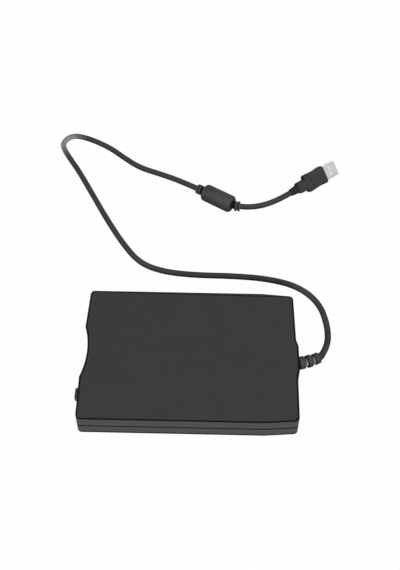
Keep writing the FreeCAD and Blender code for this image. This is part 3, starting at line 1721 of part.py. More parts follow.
def ferrite_sleeve():
    """The ferrite's moulded barrel with a ringed collar at each end, round the cable."""
    collar_length = size("ferriteCollarLength")
    start, end = Vector(*CORD_A[-1]), Vector(*CORD_B[0])
    into = (start - Vector(*CORD_A[-2])).normalize()
    out = (Vector(*CORD_B[1]) - end).normalize()
    first = start + into * collar_length
    last = end - out * collar_length
    heading = (last - first).normalize()
    length = size("ferriteLength")
    barrel_start = (first + last) / 2 - heading * (length / 2)
    barrel = Part.makeCylinder(size("ferriteRadius"), length, barrel_start, heading)
    round_edges = [edge for edge in barrel.Edges if edge.Closed]
    barrel = barrel.makeFillet(size("ferriteRound"), round_edges)
    collar = size("ferriteCollar")
    route = [tuple(place) for place in (start, first, last, end)]
    core = tube_along(route, collar - size("ferriteGroove"))
    ring = size("ferriteRingWidth")
    rings = []
    for k in (0, 1):
        offset = size("ferriteRingStart") + k * size("ferriteRingPitch")
        rings.append(ring_at(start + into * offset, into, collar, ring))
        rings.append(ring_at(end - out * offset, out, collar, ring))
    free_shape("ferrite_sleeve", barrel.multiFuse([core, *rings]).removeSplitter())


def plug_placement():
    """The plug goes on in line with the end of its cable, and lies rolled on one edge."""
    heading = Vector(*CORD_B[-1]) - Vector(*CORD_B[-2])
    turn = math.degrees(math.atan2(heading.y, heading.x))
    rise = math.degrees(math.asin(heading.z / heading.Length))
    aim = Rotation(Vector(0, 0, 1), turn).multiply(Rotation(Vector(0, 1, 0), -rise))
    return Placement(Vector(*CORD_B[-1]), aim.multiply(Rotation(Vector(1, 0, 0), size("plugRoll"))))


def centred(x, width, height):
    return box(x, (f"-({width}) / 2", f"({width}) / 2"), (f"-({height}) / 2", f"({height}) / 2"))


def plug_grip():
    """The moulded grip, along +X from the cable, before it is turned into place."""
    body = new_body("plug_grip")
    rings = "3 * plugRingPitch"
    neck_end = f"{rings} + plugNeckLength"
    front = f"{neck_end} + plugLength"
    half = "plugWidth / 2"
    tail = "plugTail / 2"
    plan = new_sketch(body, height="-plugThickness / 2")
    outline(
        plan,
        [
            (neck_end, f"-{tail}"),
            (f"{neck_end} + plugWaistLength", f"-{tail}"),
            (f"{neck_end} + plugWaistLength + plugFlareLength", f"-{half}"),
            (front, f"-{half}"),
            (front, half),
            (f"{neck_end} + plugWaistLength + plugFlareLength", half),
            (f"{neck_end} + plugWaistLength", tail),
            (neck_end, tail),
        ],
    )
    pad(body, plan, "plugThickness")
    fillet(
        body,
        "plugCorner",
        lambda edge: edge.BoundBox.ZLength < LEVEL and edge.BoundBox.XLength > LEVEL,
    )
    neck = new_sketch(body, height="-plugNeckThickness / 2")
    rectangle(neck, (rings, f"{neck_end} + past"), ("-plugNeckWidth / 2", "plugNeckWidth / 2"))
    pad(body, neck, "plugNeckThickness")
    for k in range(3):
        ring = new_sketch(body, "YZ_Plane", f"{k} * plugRingPitch + plugRingGap")
        disc(ring, ("0", "0"), "plugRingRadius")
        pad(body, ring, "plugRingPitch - 2 * plugRingGap")
    core = new_sketch(body, "YZ_Plane", "0")
    disc(core, ("0", "0"), "cordRadius + plugCoreWall")
    pad(body, core, f"{rings} + past")
    socket = new_sketch(body, "YZ_Plane", f"{front} - plugShellRoot")
    rectangle(
        socket,
        ("-plugShellWidth / 2", "plugShellWidth / 2"),
        ("-plugShellHeight / 2", "plugShellHeight / 2"),
    )
    pocket(body, socket, "plugShellRoot + past", backwards=True)
    body.Placement = plug_placement()


def plug_metal():
    front = "3 * plugRingPitch + plugNeckLength + plugLength"
    root = f"{front} - plugShellRoot"
    tip = f"{front} + plugShellReach"
    outer = centred((root, tip), "plugShellWidth", "plugShellHeight")
    inner = centred(
        (f"{root} - past", f"{tip} + past"),
        "plugShellWidth - 2 * plugShellSheet",
        "plugShellHeight - 2 * plugShellSheet",
    )
    windows = []
    for side in (-1, 1):
        low = f"{tip} - plugWindowFromTip - plugWindow / 2"
        y_low = f"{side} * plugWindowSide - plugWindow / 2"
        windows.append(
            box(
                (low, f"{low} + plugWindow"),
                (y_low, f"{y_low} + plugWindow"),
                ("-plugShellHeight", "plugShellHeight"),
            )
        )
    shell = keep("plug_shell", cut(outer, inner, *windows))
    shell.Placement = plug_placement()
    inside = "plugShellHeight / 2 - plugShellSheet"
    # the tongue lies against the upper wall of the shell, with the contacts on its underside
    tongue_face = f"{inside} - plugTongueHeight"
    tongue = box(
        (root, f"{tip} - tongueSetBack"),
        ("-plugTongueWidth / 2", "plugTongueWidth / 2"),
        (tongue_face, inside),
    )
    keep("plug_tongue", carried(tongue)).Placement = plug_placement()
    strips = []
    for k in (-1.5, -0.5, 0.5, 1.5):
        low = f"{k} * contactPitch - contactWidth / 2"
        strips.append(
            box(
                (f"{tip} - contactSetBack - contactLength", f"{tip} - contactSetBack"),
                (low, f"{low} + contactWidth"),
                (f"{tongue_face} - contactHeight", tongue_face),
            )
        )
    contacts = keep("plug_contacts", group(*strips))
    contacts.Placement = plug_placement()


def cords():
    free_shape("usb_cord_a", tube_along(CORD_A, size("cordRadius"), "usb_cord_a"))
    free_shape("usb_cord_b", tube_along(CORD_B, size("cordRadius"), "usb_cord_b"))


def build():
    upper_shell()
    lower_shell()
    front_bezel()
    rubber_feet()
    screws()
    dust_flap()
    flap_spring()
    led_parts()
    eject_button()
    drive_chassis()
    drive_cover()
    cover_screws()
    eject_slider()
    disk_holder()
    shutter_lever()
    lever_fixings()
    eject_springs()
    motor_board()
    motor_stator()
    spindle_bearing()
    spindle_rotor()
    spindle_hub()
    head_carriage()
    upper_arm()
    guide_rails()
    head_drive()
    track_zero_sensor()
    switch("disk_in", "diskInSide")
    switch("write_protect", "switchSide")
    switch("density", "-switchSide")
    usb_board()
    drive_ribbon()
    strain_relief()
    ferrite_sleeve()
    cords()
    plug_grip()
    plug_metal()


def check():
    doc.recompute()
    for thing in doc.Objects:
        if "Invalid" in thing.State or "Error" in thing.State:
            raise RuntimeError(f"{thing.Label} failed: {thing.State}")
    for thing in nodes:
        if thing.Shape.isNull() or not thing.Shape.isValid():
            raise RuntimeError(f"{thing.Label} has no valid shape")
        if not thing.Shape.Solids:
            raise RuntimeError(f"{thing.Label} has no solid")


def write():
    os.makedirs("parts", exist_ok=True)
    for thing in nodes:
        thing.Shape.exportStep(f"parts/{thing.Label}.step")
        print(f"{thing.Label}: {len(thing.Shape.Solids)} solid(s), {thing.Shape.Volume:.1f} mm3")


build()
check()
write()
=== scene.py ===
import json
import math

import bmesh
import bpy
from mathutils import Matrix, Vector


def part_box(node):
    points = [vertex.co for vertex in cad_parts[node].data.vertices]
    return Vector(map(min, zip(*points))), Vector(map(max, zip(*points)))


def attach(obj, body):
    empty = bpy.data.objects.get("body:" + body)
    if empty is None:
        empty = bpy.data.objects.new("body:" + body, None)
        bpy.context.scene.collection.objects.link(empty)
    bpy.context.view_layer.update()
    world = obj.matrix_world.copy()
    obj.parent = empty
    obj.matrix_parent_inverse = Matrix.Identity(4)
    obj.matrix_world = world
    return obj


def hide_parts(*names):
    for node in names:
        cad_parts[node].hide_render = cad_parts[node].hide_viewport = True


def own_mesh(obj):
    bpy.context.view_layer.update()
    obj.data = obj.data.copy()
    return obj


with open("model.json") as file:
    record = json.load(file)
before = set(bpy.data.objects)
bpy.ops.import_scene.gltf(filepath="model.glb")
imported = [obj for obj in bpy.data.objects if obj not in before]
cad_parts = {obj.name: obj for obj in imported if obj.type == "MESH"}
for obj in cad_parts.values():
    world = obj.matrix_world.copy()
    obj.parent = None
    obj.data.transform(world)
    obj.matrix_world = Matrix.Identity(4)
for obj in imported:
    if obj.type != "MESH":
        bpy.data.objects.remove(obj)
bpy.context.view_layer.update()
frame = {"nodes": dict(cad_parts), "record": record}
mm = 0.001  # the values below are in millimetres, the scene is in metres
nodes = frame["nodes"]

print("stage: camera and light")

view = {
    "place": (13.406, -355.864, 508.472),
    "yaw": -0.01877,
    "pitch": 0.86884,
    "roll": 0.00464,
    "focalPixels": 914.931,
    "imageWidth": 400,
    "sensorWidth": 36.0,
}


def addCamera():
    yaw, pitch, roll = view["yaw"], view["pitch"], view["roll"]
    ahead = Vector((math.sin(yaw) * math.cos(pitch), math.cos(yaw) * math.cos(pitch), -math.sin(pitch)))
    level = ahead.cross(Vector((0, 0, 1))).normalized()
    upright = level.cross(ahead)
    right = math.cos(roll) * level + math.sin(roll) * upright
    up = -math.sin(roll) * level + math.cos(roll) * upright
    camera = bpy.data.objects.new("camera", bpy.data.cameras.new("camera"))
    camera.data.sensor_fit = "HORIZONTAL"
    camera.data.sensor_width = view["sensorWidth"]
    camera.data.lens = view["focalPixels"] * view["sensorWidth"] / view["imageWidth"]
    camera.data.clip_start = 0.01
    turn = Matrix((right, up, -ahead)).transposed().to_4x4()
    camera.matrix_world = Matrix.Translation(Vector(view["place"]) * mm) @ turn
    bpy.context.scene.collection.objects.link(camera)
    bpy.context.scene.camera = camera


lamps = {  # place, what it points at, width and height in metres, and power
    "front": ((0.1, -1.45, 0.8), (0, 0.05, 0.01), 0.9, 0.5, 31.0),
    "above": ((-0.1, -0.2, 1.6), (0, 0.08, 0), 0.8, 0.8, 1.0),
    "behind": ((0.3, 1.5, 0.5), (0, 0.1, 0), 0.9, 0.5, 5.0),
}


def addLamps():
    for name, (place, target, width, height, power) in lamps.items():
        lamp = bpy.data.objects.new(name, bpy.data.lights.new(name, "AREA"))
        lamp.data.shape = "RECTANGLE"
        lamp.data.size, lamp.data.size_y = width, height
        lamp.data.energy = power
        lamp.location = place
        lamp.rotation_euler = (Vector(target) - Vector(place)).to_track_quat("-Z", "Y").to_euler()
        bpy.context.scene.collection.objects.link(lamp)


studio = {
    "roomLight": 0.14,
    "floorShade": 0.6,
    "floorWhite": 0.985,  # how far the floor shows as plain white; the rest of it takes shadows
    "floorSize": 6.0,
}


def feed(tree, node, inputs):
    # an output is linked to the input, and a plain value is set on it
    for name, value in inputs.items():
        if isinstance(value, bpy.types.NodeSocket):
            tree.links.new(value, node.inputs[name])
        else:
            node.inputs[name].default_value = value


def addNode(tree, kind, inputs={}):
    node = tree.nodes.new(kind)
    feed(tree, node, inputs)
    return node


def larger(tree, first, second):
    either = addNode(tree, "ShaderNodeMath", {0: first, 1: second})
    either.operation = "MAXIMUM"
    return either.outputs[0]


def seenDirectly(tree):
    # 1 for what the camera sees, be it straight, mirrored or through glass
    rays = addNode(tree, "ShaderNodeLightPath").outputs
    straight = larger(tree, rays["Is Camera Ray"], rays["Is Glossy Ray"])
    return larger(tree, straight, rays["Is Transmission Ray"])


def addStudio():
    world = bpy.data.worlds.new("studio")
    bpy.context.scene.world = world
    world.use_nodes = True
    tree = world.node_tree
    level = addNode(tree, "ShaderNodeMapRange", {"Value": seenDirectly(tree), "To Min": studio["roomLight"]})
    feed(tree, tree.nodes["Background"], {"Strength": level.outputs["Result"], "Color": (1, 1, 1, 1)})

    shape = bmesh.new()
    bmesh.ops.create_grid(shape, x_segments=1, y_segments=1, size=studio["floorSize"] / 2)
    mesh = bpy.data.meshes.new("floor")
    shape.to_mesh(mesh)
    shape.free()
    floor = bpy.data.objects.new("floor", mesh)
    bpy.context.scene.collection.objects.link(floor)
    paper = bpy.data.materials.new("paleFloor")
    paper.use_nodes = True
    tree = paper.node_tree
    tree.nodes.remove(tree.nodes["Principled BSDF"])
    matte = addNode(tree, "ShaderNodeBsdfDiffuse", {"Color": (*[studio["floorShade"]] * 3, 1)})
    white = addNode(tree, "ShaderNodeEmission")
    share = addNode(tree, "ShaderNodeMath", {0: seenDirectly(tree), 1: studio["floorWhite"]})
    share.operation = "MULTIPLY"
    both = {0: share.outputs[0], 1: matte.outputs[0], 2: white.outputs[0]}
    blend = addNode(tree, "ShaderNodeMixShader", both)
    feed(tree, tree.nodes["Material Output"], {"Surface": blend.outputs[0]})
    mesh.materials.append(paper)


bpy.context.scene.view_settings.view_transform = "Standard"
addCamera()
addLamps()
addStudio()

print("stage: finishes")


def startFinish(name):
    finish = bpy.data.materials.new(name + "Finish")
    finish.use_nodes = True
    tree = finish.node_tree
    return finish, tree, tree.nodes["Principled BSDF"]


def objectPlace(tree, stretch=(1, 1, 1), turn=(0, 0, 0)):
    place = addNode(tree, "ShaderNodeTexCoord").outputs["Object"]
    mapping = addNode(tree, "ShaderNodeMapping", {"Vector": place, "Scale": stretch, "Rotation": turn})
    return mapping.outputs["Vector"]


def speckle(tree, place, size, detail=2.0, rough=0.5):
    # soft random spots, size in millimetres
    noise = {"Vector": place, "Scale": 1 / (size * mm), "Detail": detail, "Roughness": rough}
    return addNode(tree, "ShaderNodeTexNoise", noise).outputs["Fac"]


def stripes(tree, place, pitch, axis="X", bend=0.0):
    # even waves along one axis, pitch in millimetres
    scale = math.pi / 10 / (pitch * mm)
    wave = addNode(tree, "ShaderNodeTexWave", {"Vector": place, "Scale": scale, "Distortion": bend})
    wave.bands_direction = axis
    return wave.outputs["Fac"]


def cells(tree, place, size):
    # a patchwork of cells: Color is each one's random shade, and Distance is measured from its middle
    return addNode(tree, "ShaderNodeTexVoronoi", {"Vector": place, "Scale": 1 / (size * mm)}).outputs


def between(tree, value, low, high, start=0.0, end=1.0):
    spread = {"Value": value, "From Min": start, "From Max": end, "To Min": low, "To Max": high}
    return addNode(tree, "ShaderNodeMapRange", spread).outputs["Result"]


def shadesBetween(tree, value, dark, light, start=0.35, end=0.65):
    ramp = addNode(tree, "ShaderNodeValToRGB", {"Fac": value})
    for stop, position, shade in zip(ramp.color_ramp.elements, (start, end), (dark, light)):
        stop.position = position
        stop.color = (*shade, 1)
    return ramp.outputs["Color"]


def layered(tree, share, under, over, blend="MIX"):
    mix = addNode(tree, "ShaderNodeMix")
    mix.data_type = "RGBA"
    mix.blend_type = blend
    feed(tree, mix, {"Factor": share, "A": under, "B": over})
    return mix.outputs["Result"]


def scaled(shade, factor):
    return tuple(min(1.0, part * factor) for part in shade)


def mottled(tree, place, shade, size, dark, light, detail=2.0):
    # soft spots of one colour, between two shares of it
    spots = speckle(tree, place, size, detail)
    return shadesBetween(tree, spots, scaled(shade, dark), scaled(shade, light))


def addRelief(tree, shader, height, depth, strength=0.5):
    # depth in millimetres
    bump = addNode(tree, "ShaderNodeBump", {"Height": height, "Strength": strength, "Distance": depth * mm})
    feed(tree, shader, {"Normal": bump.outputs["Normal"]})


def paintedSideShade(tree, colour, low, start=-0.15, end=0.85):
    # painted shade: full colour on what faces up, and a share of it on what faces sideways or down, in place
    # of the lamps' fall-off on round parts
    facing = addNode(tree, "ShaderNodeNewGeometry").outputs["Normal"]
    up = addNode(tree, "ShaderNodeSeparateXYZ", {"Vector": facing}).outputs["Z"]
    return layered(tree, 1.0, colour, between(tree, up, low, 1.0, start, end), "MULTIPLY")


def paintedHighlightSpot(tree, colour, spot, radius, shade, mottleSize=1.5):
    # painted highlight: a paler stretch that fades out round one spot, in millimetres, where a bend catches
    # the light
    place = addNode(tree, "ShaderNodeTexCoord").outputs["Object"]
    away = addNode(tree, "ShaderNodeVectorMath", {0: place, 1: Vector(spot) * mm})
    away.operation = "DISTANCE"
    fade = addNode(tree, "ShaderNodeMapRange")
    fade.interpolation_type = "SMOOTHSTEP"
    feed(tree, fade, {"Value": away.outputs["Value"], "From Max": radius * mm, "To Min": 1.0, "To Max": 0.0})
    pale = mottled(tree, place, shade, mottleSize, 0.85, 1.1, detail=4)
    return layered(tree, fade.outputs["Result"], colour, pale)


def plasticFinish(
    name, shade, rough=0.55, gloss=0.3, grain=0.25, depth=0.02, cloud=14.0, drift=0.1, sides=1.0, spread=0.08,
):
    # spark-eroded mould grain over slow patches of shade; sides is the share of colour that the sides keep
    # under a painted shade
    finish, tree, shader = startFinish(name)
    place = objectPlace(tree)
    colour = mottled(tree, place, shade, cloud, 1 - drift, 1 + drift, detail=3)
    pits = speckle(tree, place, grain, detail=3, rough=0.6)
    if sides < 1:
        colour = paintedSideShade(tree, colour, sides)
    roughness = between(tree, pits, rough - spread, rough + spread)
    feed(tree, shader, {"Base Color": colour, "Roughness": roughness, "Specular IOR Level": gloss})
    addRelief(tree, shader, pits, depth)
    return finish


def cableFinish(name, shade, sides, bend):
    # soft matt jacket, with a painted highlight where it is bent most and painted shade on its sides
    finish = plasticFinish(name, shade, rough=0.5, gloss=0.02, grain=0.2, depth=0.01, sides=sides)
    tree = finish.node_tree
    shader = tree.nodes["Principled BSDF"]
    colour = shader.inputs["Base Color"].links[0].from_socket
    feed(tree, shader, {"Base Color": paintedHighlightSpot(tree, colour, **bend)})
    return finish


def metalFinish(
    name, shade, rough=0.3, brush=(1, 12, 12), line=0.6, depth=0.004, drift=0.08, spread=(0.1, 0.12),
):
    # drawn, ground or rolled metal: fine lines along one direction
    finish, tree, shader = startFinish(name)
    lines = speckle(tree, objectPlace(tree, stretch=brush), line, detail=4, rough=0.65)
    colour = mottled(tree, objectPlace(tree), shade, 9.0, 1 - drift, 1 + drift, detail=3)
    roughness = between(tree, lines, rough - spread[0], rough + spread[1])
    feed(tree, shader, {"Base Color": colour, "Roughness": roughness, "Metallic": 1.0})
    addRelief(tree, shader, lines, depth)
    return finish


def sheetFinish(name, shade, flake=1.6, line=0.8, rough=(0.28, 0.42), depth=0.003):
    # zinc-coated sheet: pale crystals with rolled lines across them
    finish, tree, shader = startFinish(name)
    crystals = cells(tree, objectPlace(tree), flake)["Color"]
    lines = speckle(tree, objectPlace(tree, stretch=(1, 14, 14)), line, detail=4)
    colour = shadesBetween(tree, crystals, scaled(shade, 0.95), scaled(shade, 1.03), 0.1, 0.9)
    roughness = between(tree, crystals, *rough)
    feed(tree, shader, {"Base Color": colour, "Roughness": roughness, "Metallic": 1.0})
    addRelief(tree, shader, lines, depth)
    return finish


def boardFinish(
    name, mask, track, tin, trackPitch=1.3, padPitch=3.2, padEdge=(0.13, 0.15),
    rough=(0.42, 0.25), depth=0.03,
):
    # solder mask over tracks, with tinned pads
    finish, tree, shader = startFinish(name)
    place = objectPlace(tree)
    runs = between(tree, stripes(tree, place, trackPitch, "Y", bend=3.0), 0, 1, 0.72, 0.8)
    under = mottled(tree, place, mask, 5.0, 0.85, 1.15, detail=3)
    over = mottled(tree, place, track, 1.5, 0.9, 1.1)
    metal = mottled(tree, place, tin, 0.4, 0.8, 1.0)
    pads = between(tree, cells(tree, place, padPitch)["Distance"], 1, 0, *padEdge)
    colour = layered(tree, pads, layered(tree, runs, under, over), metal)
    roughness = between(tree, pads, *rough)
    feed(tree, shader, {"Base Color": colour, "Roughness": roughness, "Metallic": pads})
    addRelief(tree, shader, runs, depth)
    return finish


def windingFinish(name, shade, patch=1.2, grain=0.3, rough=(0.2, 0.38), depth=0.01):
    # enamelled copper wire: glossy, with darker patches of varnish
    finish, tree, shader = startFinish(name)
    place = objectPlace(tree)
    varnish = speckle(tree, place, patch, detail=3)
    colour = shadesBetween(tree, varnish, scaled(shade, 0.6), shade)
    roughness = between(tree, speckle(tree, place, grain), *rough)
    feed(tree, shader, {"Base Color": colour, "Roughness": roughness, "Metallic": 0.8, "Coat Weight": 0.3})
    addRelief(tree, shader, varnish, depth)
    return finish


def lensFinish(name, tint, streak=1.2, rough=(0.08, 0.2), clear=0.7, bending=1.49):
    # clear tinted plastic with faint flow lines
    finish, tree, shader = startFinish(name)
    flow = speckle(tree, objectPlace(tree), streak, detail=2)
    colour = shadesBetween(tree, flow, scaled(tint, 0.9), tint)
    feed(tree, shader, {"Base Color": colour, "Roughness": between(tree, flow, *rough)})
    feed(tree, shader, {"Transmission Weight": clear, "IOR": bending})
    return finish


def filmFinish(name, film, wire, pitch, rough=(0.32, 0.24), depth=0.03):
    # flat conductors side by side in a clear amber film
    finish, tree, shader = startFinish(name)
    place = objectPlace(tree)
    wires = between(tree, stripes(tree, place, pitch, "Y"), 0, 1, 0.45, 0.6)
    under = mottled(tree, place, film, 2.0, 0.85, 1.0)
    over = mottled(tree, place, wire, 0.6, 0.85, 1.0)
    roughness = between(tree, wires, *rough)
    colour = layered(tree, wires, under, over)
    feed(tree, shader, {"Base Color": colour, "Roughness": roughness, "Coat Weight": 0.4})
    addRelief(tree, shader, wires, depth)
    return finish


def fibreFinish(name, shade, fibre=0.5, rough=(0.65, 0.45), depth=0.015):
    # glass-filled plastic: short pale fibres in a dark base
    finish, tree, shader = startFinish(name)
    grain = objectPlace(tree, stretch=(1, 5, 5), turn=(0, 0, 0.5))
    fibres = speckle(tree, grain, fibre, detail=5, rough=0.7)
    colour = shadesBetween(tree, fibres, scaled(shade, 0.8), scaled(shade, 1.7), 0.5, 0.78)
    feed(tree, shader, {"Base Color": colour, "Roughness": between(tree, fibres, *rough)})
    addRelief(tree, shader, fibres, depth)
    return finish


# a painted highlight on the cable's tight bend: its middle and reach in millimetres, and its colour
bendHighlight = {"spot": (-111.5, 224.5, 3.0), "radius": 21.0, "shade": (0.38, 0.38, 0.38)}

# finishes with sides below 1 have painted shade on what faces sideways or down
finishes = {
    "case": plasticFinish(
        "case", (0.048, 0.048, 0.048), rough=0.62, gloss=0.1, grain=0.3, depth=0.03, drift=0.04,
    ),
    # near-black painted shade for edges, grooves and seams that lie in shadow
    "caseEdge": plasticFinish("caseEdge", (0.006, 0.006, 0.006), rough=0.7, gloss=0.04, grain=0.3),
    "bezel": plasticFinish("bezel", (0.05, 0.05, 0.051), rough=0.5, gloss=0.3),
    "button": plasticFinish("button", (0.055, 0.055, 0.056), rough=0.5, gloss=0.25),
    "flap": plasticFinish("flap", (0.035, 0.035, 0.036), rough=0.45, gloss=0.35),
    "foot": plasticFinish("foot", (0.018, 0.018, 0.018), rough=0.85, gloss=0.12, grain=0.12, depth=0.03),
    "cable": cableFinish("cable", (0.066, 0.066, 0.067), 0.2, bendHighlight),
    # a pale core: a painted highlight between the strain relief's ribs
    "reliefCore": plasticFinish(
        "reliefCore", (0.15, 0.15, 0.152), rough=0.45, gloss=0.04, grain=0.2, cloud=3.0, drift=0.2,
    ),
    "relief": plasticFinish(
        "relief", (0.062, 0.062, 0.063), rough=0.45, gloss=0.04, grain=0.2, depth=0.01,
        cloud=3.0, drift=0.2, sides=0.15,
    ),
    "ferrite": plasticFinish(
        "ferrite", (0.078, 0.078, 0.079), rough=0.5, gloss=0.03, grain=0.3, depth=0.012, sides=0.3,
    ),
    "plug": plasticFinish(
        "plug", (0.056, 0.056, 0.057), rough=0.5, gloss=0.03, grain=0.3, depth=0.012, sides=0.3,
    ),
    "mark": plasticFinish("mark", (0.004, 0.004, 0.004), rough=0.8, gloss=0.03),
    "tongue": plasticFinish("tongue", (0.7, 0.7, 0.69), rough=0.45, gloss=0.4, grain=0.3, depth=0.01),
    "hub": plasticFinish("hub", (0.08, 0.08, 0.082), rough=0.42, gloss=0.4),
    "connector": plasticFinish("connector", (0.62, 0.6, 0.52), rough=0.5, gloss=0.35, grain=0.4),
    "chip": plasticFinish("chip", (0.022, 0.022, 0.023), rough=0.6, gloss=0.3, grain=0.12, depth=0.02),
    "ceramic": plasticFinish("ceramic", (0.5, 0.48, 0.42), rough=0.25, gloss=0.55, grain=0.08, depth=0.003),
    "magnet": plasticFinish("magnet", (0.05, 0.05, 0.052), rough=0.5, gloss=0.5, grain=0.1, depth=0.01),
    "carriage": fibreFinish("carriage", (0.04, 0.04, 0.04)),
    "plugShell": metalFinish("plugShell", (0.53, 0.53, 0.54), rough=0.42),
    "sheet": sheetFinish("sheet", (0.56, 0.56, 0.55)),
    "zincScrew": metalFinish("zincScrew", (0.5, 0.5, 0.49), rough=0.32, brush=(8, 8, 1)),
    "blackScrew": metalFinish("blackScrew", (0.05, 0.05, 0.052), rough=0.4, brush=(8, 8, 1)),
    "spring": metalFinish("spring", (0.5, 0.5, 0.5), rough=0.25, brush=(1, 1, 6), line=0.3),
    "shaft": metalFinish("shaft", (0.6, 0.6, 0.62), rough=0.2, brush=(8, 1, 1), line=0.4, depth=0.002),
    "bronze": metalFinish("bronze", (0.5, 0.34, 0.15), rough=0.42, brush=(1, 1, 1), line=0.15, depth=0.01),
    "gold": metalFinish("gold", (0.85, 0.6, 0.22), rough=0.24, brush=(1, 8, 8)),
    "tin": metalFinish("tin", (0.6, 0.6, 0.6), rough=0.3, brush=(4, 4, 1), line=0.3),
    "copper": windingFinish("copper", (0.62, 0.26, 0.1)),
    "board": boardFinish("board", (0.012, 0.09, 0.03), (0.03, 0.17, 0.06), (0.62, 0.62, 0.6)),
    "lens": lensFinish("lens", (0.35, 0.75, 0.3)),
    "film": filmFinish("film", (0.5, 0.3, 0.1), (0.65, 0.6, 0.5), 1.0),
}

print("stage: making helpers")


def nodeBox(name):
    low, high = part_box(name)
    return low / mm, high / mm


def addPart(shape, part, place=Matrix(), coat=0):
    # joins a finished part to the shape, moved to its place
    bmesh.ops.transform(part, matrix=place, verts=part.verts)
    if coat:
        for face in part.faces:
            face.material_index = coat
    mesh = bpy.data.meshes.new("part")
    part.to_mesh(mesh)
    part.free()
    shape.from_mesh(mesh)
    bpy.data.meshes.remove(mesh)


def closeUp(part):
    bmesh.ops.remove_doubles(part, verts=part.verts, dist=0.0005)
    bmesh.ops.recalc_face_normals(part, faces=part.faces)
    return part


def turned(profile, steps=40, angle=360.0, start=0.0):
    # spins (along, radius) points about the X axis; an angle below 360 leaves a strip
    part = bmesh.new()
    spots = [part.verts.new((along, radius, 0)) for along, radius in profile]
    runs = [part.edges.new(pair) for pair in zip(spots, spots[1:])]
    middle, axis = (0, 0, 0), (1, 0, 0)
    if start:
        turn = Matrix.Rotation(math.radians(start), 3, "X")
        bmesh.ops.rotate(part, verts=spots, cent=middle, matrix=turn)
    bmesh.ops.spin(
        part, geom=spots + runs, cent=middle, axis=axis, angle=math.radians(angle), steps=steps,
        use_merge=angle == 360.0,
    )
    return closeUp(part)


def strip(profile, steps, angle, start):
    # a closed (along, radius) outline swept through part of a turn, with flat ends
    part = turned([*profile, profile[0]], steps, angle, start)
    bmesh.ops.holes_fill(part, edges=part.edges)
    bmesh.ops.recalc_face_normals(part, faces=part.faces)
    return part


def quarterRound(end, radius, depth, width, bends):
    # (along, radius) points from a bar's side, over its rim, to its end
    turns = [math.pi / 2 * k / bends for k in range(bends + 1)]
    return [(end - depth * (1 - math.sin(a)), radius - width * (1 - math.cos(a))) for a in turns]


def disc(length, radius, rim, steps=40, bends=3):
    # a short bar centred on its own middle, with rounded rims
    half = length / 2
    fall = quarterRound(half, radius, rim, rim, bends)
    rise = [(-along, height) for along, height in fall[::-1]]
    return turned([(-half, 0), *rise, *fall, (half, 0)], steps)


def lofted(stations, square=0.36, sides=48):
    # one skin over squarish rings, given by their place along X, half width and half height
    part = bmesh.new()
    rims = []
    for along, halfWidth, halfHeight in stations:
        spots = bmesh.ops.create_circle(part, cap_ends=False, radius=1, segments=sides)["verts"]
        for spot in spots:
            across, up = spot.co.x, spot.co.y
            spot.co.x = along
            spot.co.y = math.copysign(abs(across) ** square, across) * halfWidth
            spot.co.z = math.copysign(abs(up) ** square, up) * halfHeight
        rims.append(list({edge for spot in spots for edge in spot.link_edges}))
    for here, there in zip(rims, rims[1:]):
        bmesh.ops.bridge_loops(part, edges=here + there)
    bmesh.ops.holes_fill(part, edges=rims[0] + rims[-1])
    bmesh.ops.recalc_face_normals(part, faces=part.faces)
    return part


def soften(part, edges, width, segments=2):
    bmesh.ops.bevel(
        part, geom=edges, offset=width, offset_type="OFFSET", affect="EDGES", segments=segments,
        profile=0.5, material=-1, clamp_overlap=True,
    )


def block(low, high, bevel=0.0, segments=2):
    part = bmesh.new()
    bmesh.ops.create_cube(part, size=1.0)
    low, high = Vector(low), Vector(high)
    bmesh.ops.scale(part, vec=high - low, verts=part.verts)
    bmesh.ops.translate(part, vec=(low + high) / 2, verts=part.verts)
    if bevel:
        soften(part, part.edges[:], bevel, segments)
    return part


def cutAcross(part, place, across):
    everything = part.verts[:] + part.edges[:] + part.faces[:]
    bmesh.ops.bisect_plane(part, geom=everything, plane_co=place, plane_no=across)


def sharpEdges(part, angle=30.0):
    limit = math.radians(angle)
    return [edge for edge in part.edges if edge.is_manifold and edge.calc_face_angle() > limit]


def cadCopy(name):
    # the CAD node's shape with its triangles merged back into whole faces
    part = bmesh.new()
    part.from_mesh(nodes[name].data)
    bmesh.ops.scale(part, vec=(1 / mm,) * 3, verts=part.verts)
    bmesh.ops.remove_doubles(part, verts=part.verts, dist=0.001)
    bmesh.ops.dissolve_limit(part, angle_limit=math.radians(0.5), verts=part.verts, edges=part.edges)
    return part


def solidPlaces(name):
    # lowest and highest corner of each separate solid in a node
    part = bmesh.new()
    part.from_mesh(nodes[name].data)
    bmesh.ops.remove_doubles(part, verts=part.verts, dist=0.000001)
    waiting, places = set(part.verts), []
    while waiting:
        reached = [waiting.pop()]
        for spot in reached:
            joined = {edge.other_vert(spot) for edge in spot.link_edges} & waiting
            waiting -= joined
            reached.extend(joined)
        low = Vector([min(spot.co[k] for spot in reached) for k in range(3)]) / mm
        high = Vector([max(spot.co[k] for spot in reached) for k in range(3)]) / mm
        places.append((low, high))
    part.free()
    return sorted(places, key=lambda place: tuple(round(value, 1) for value in place[0]))


print("stage: node finishes")

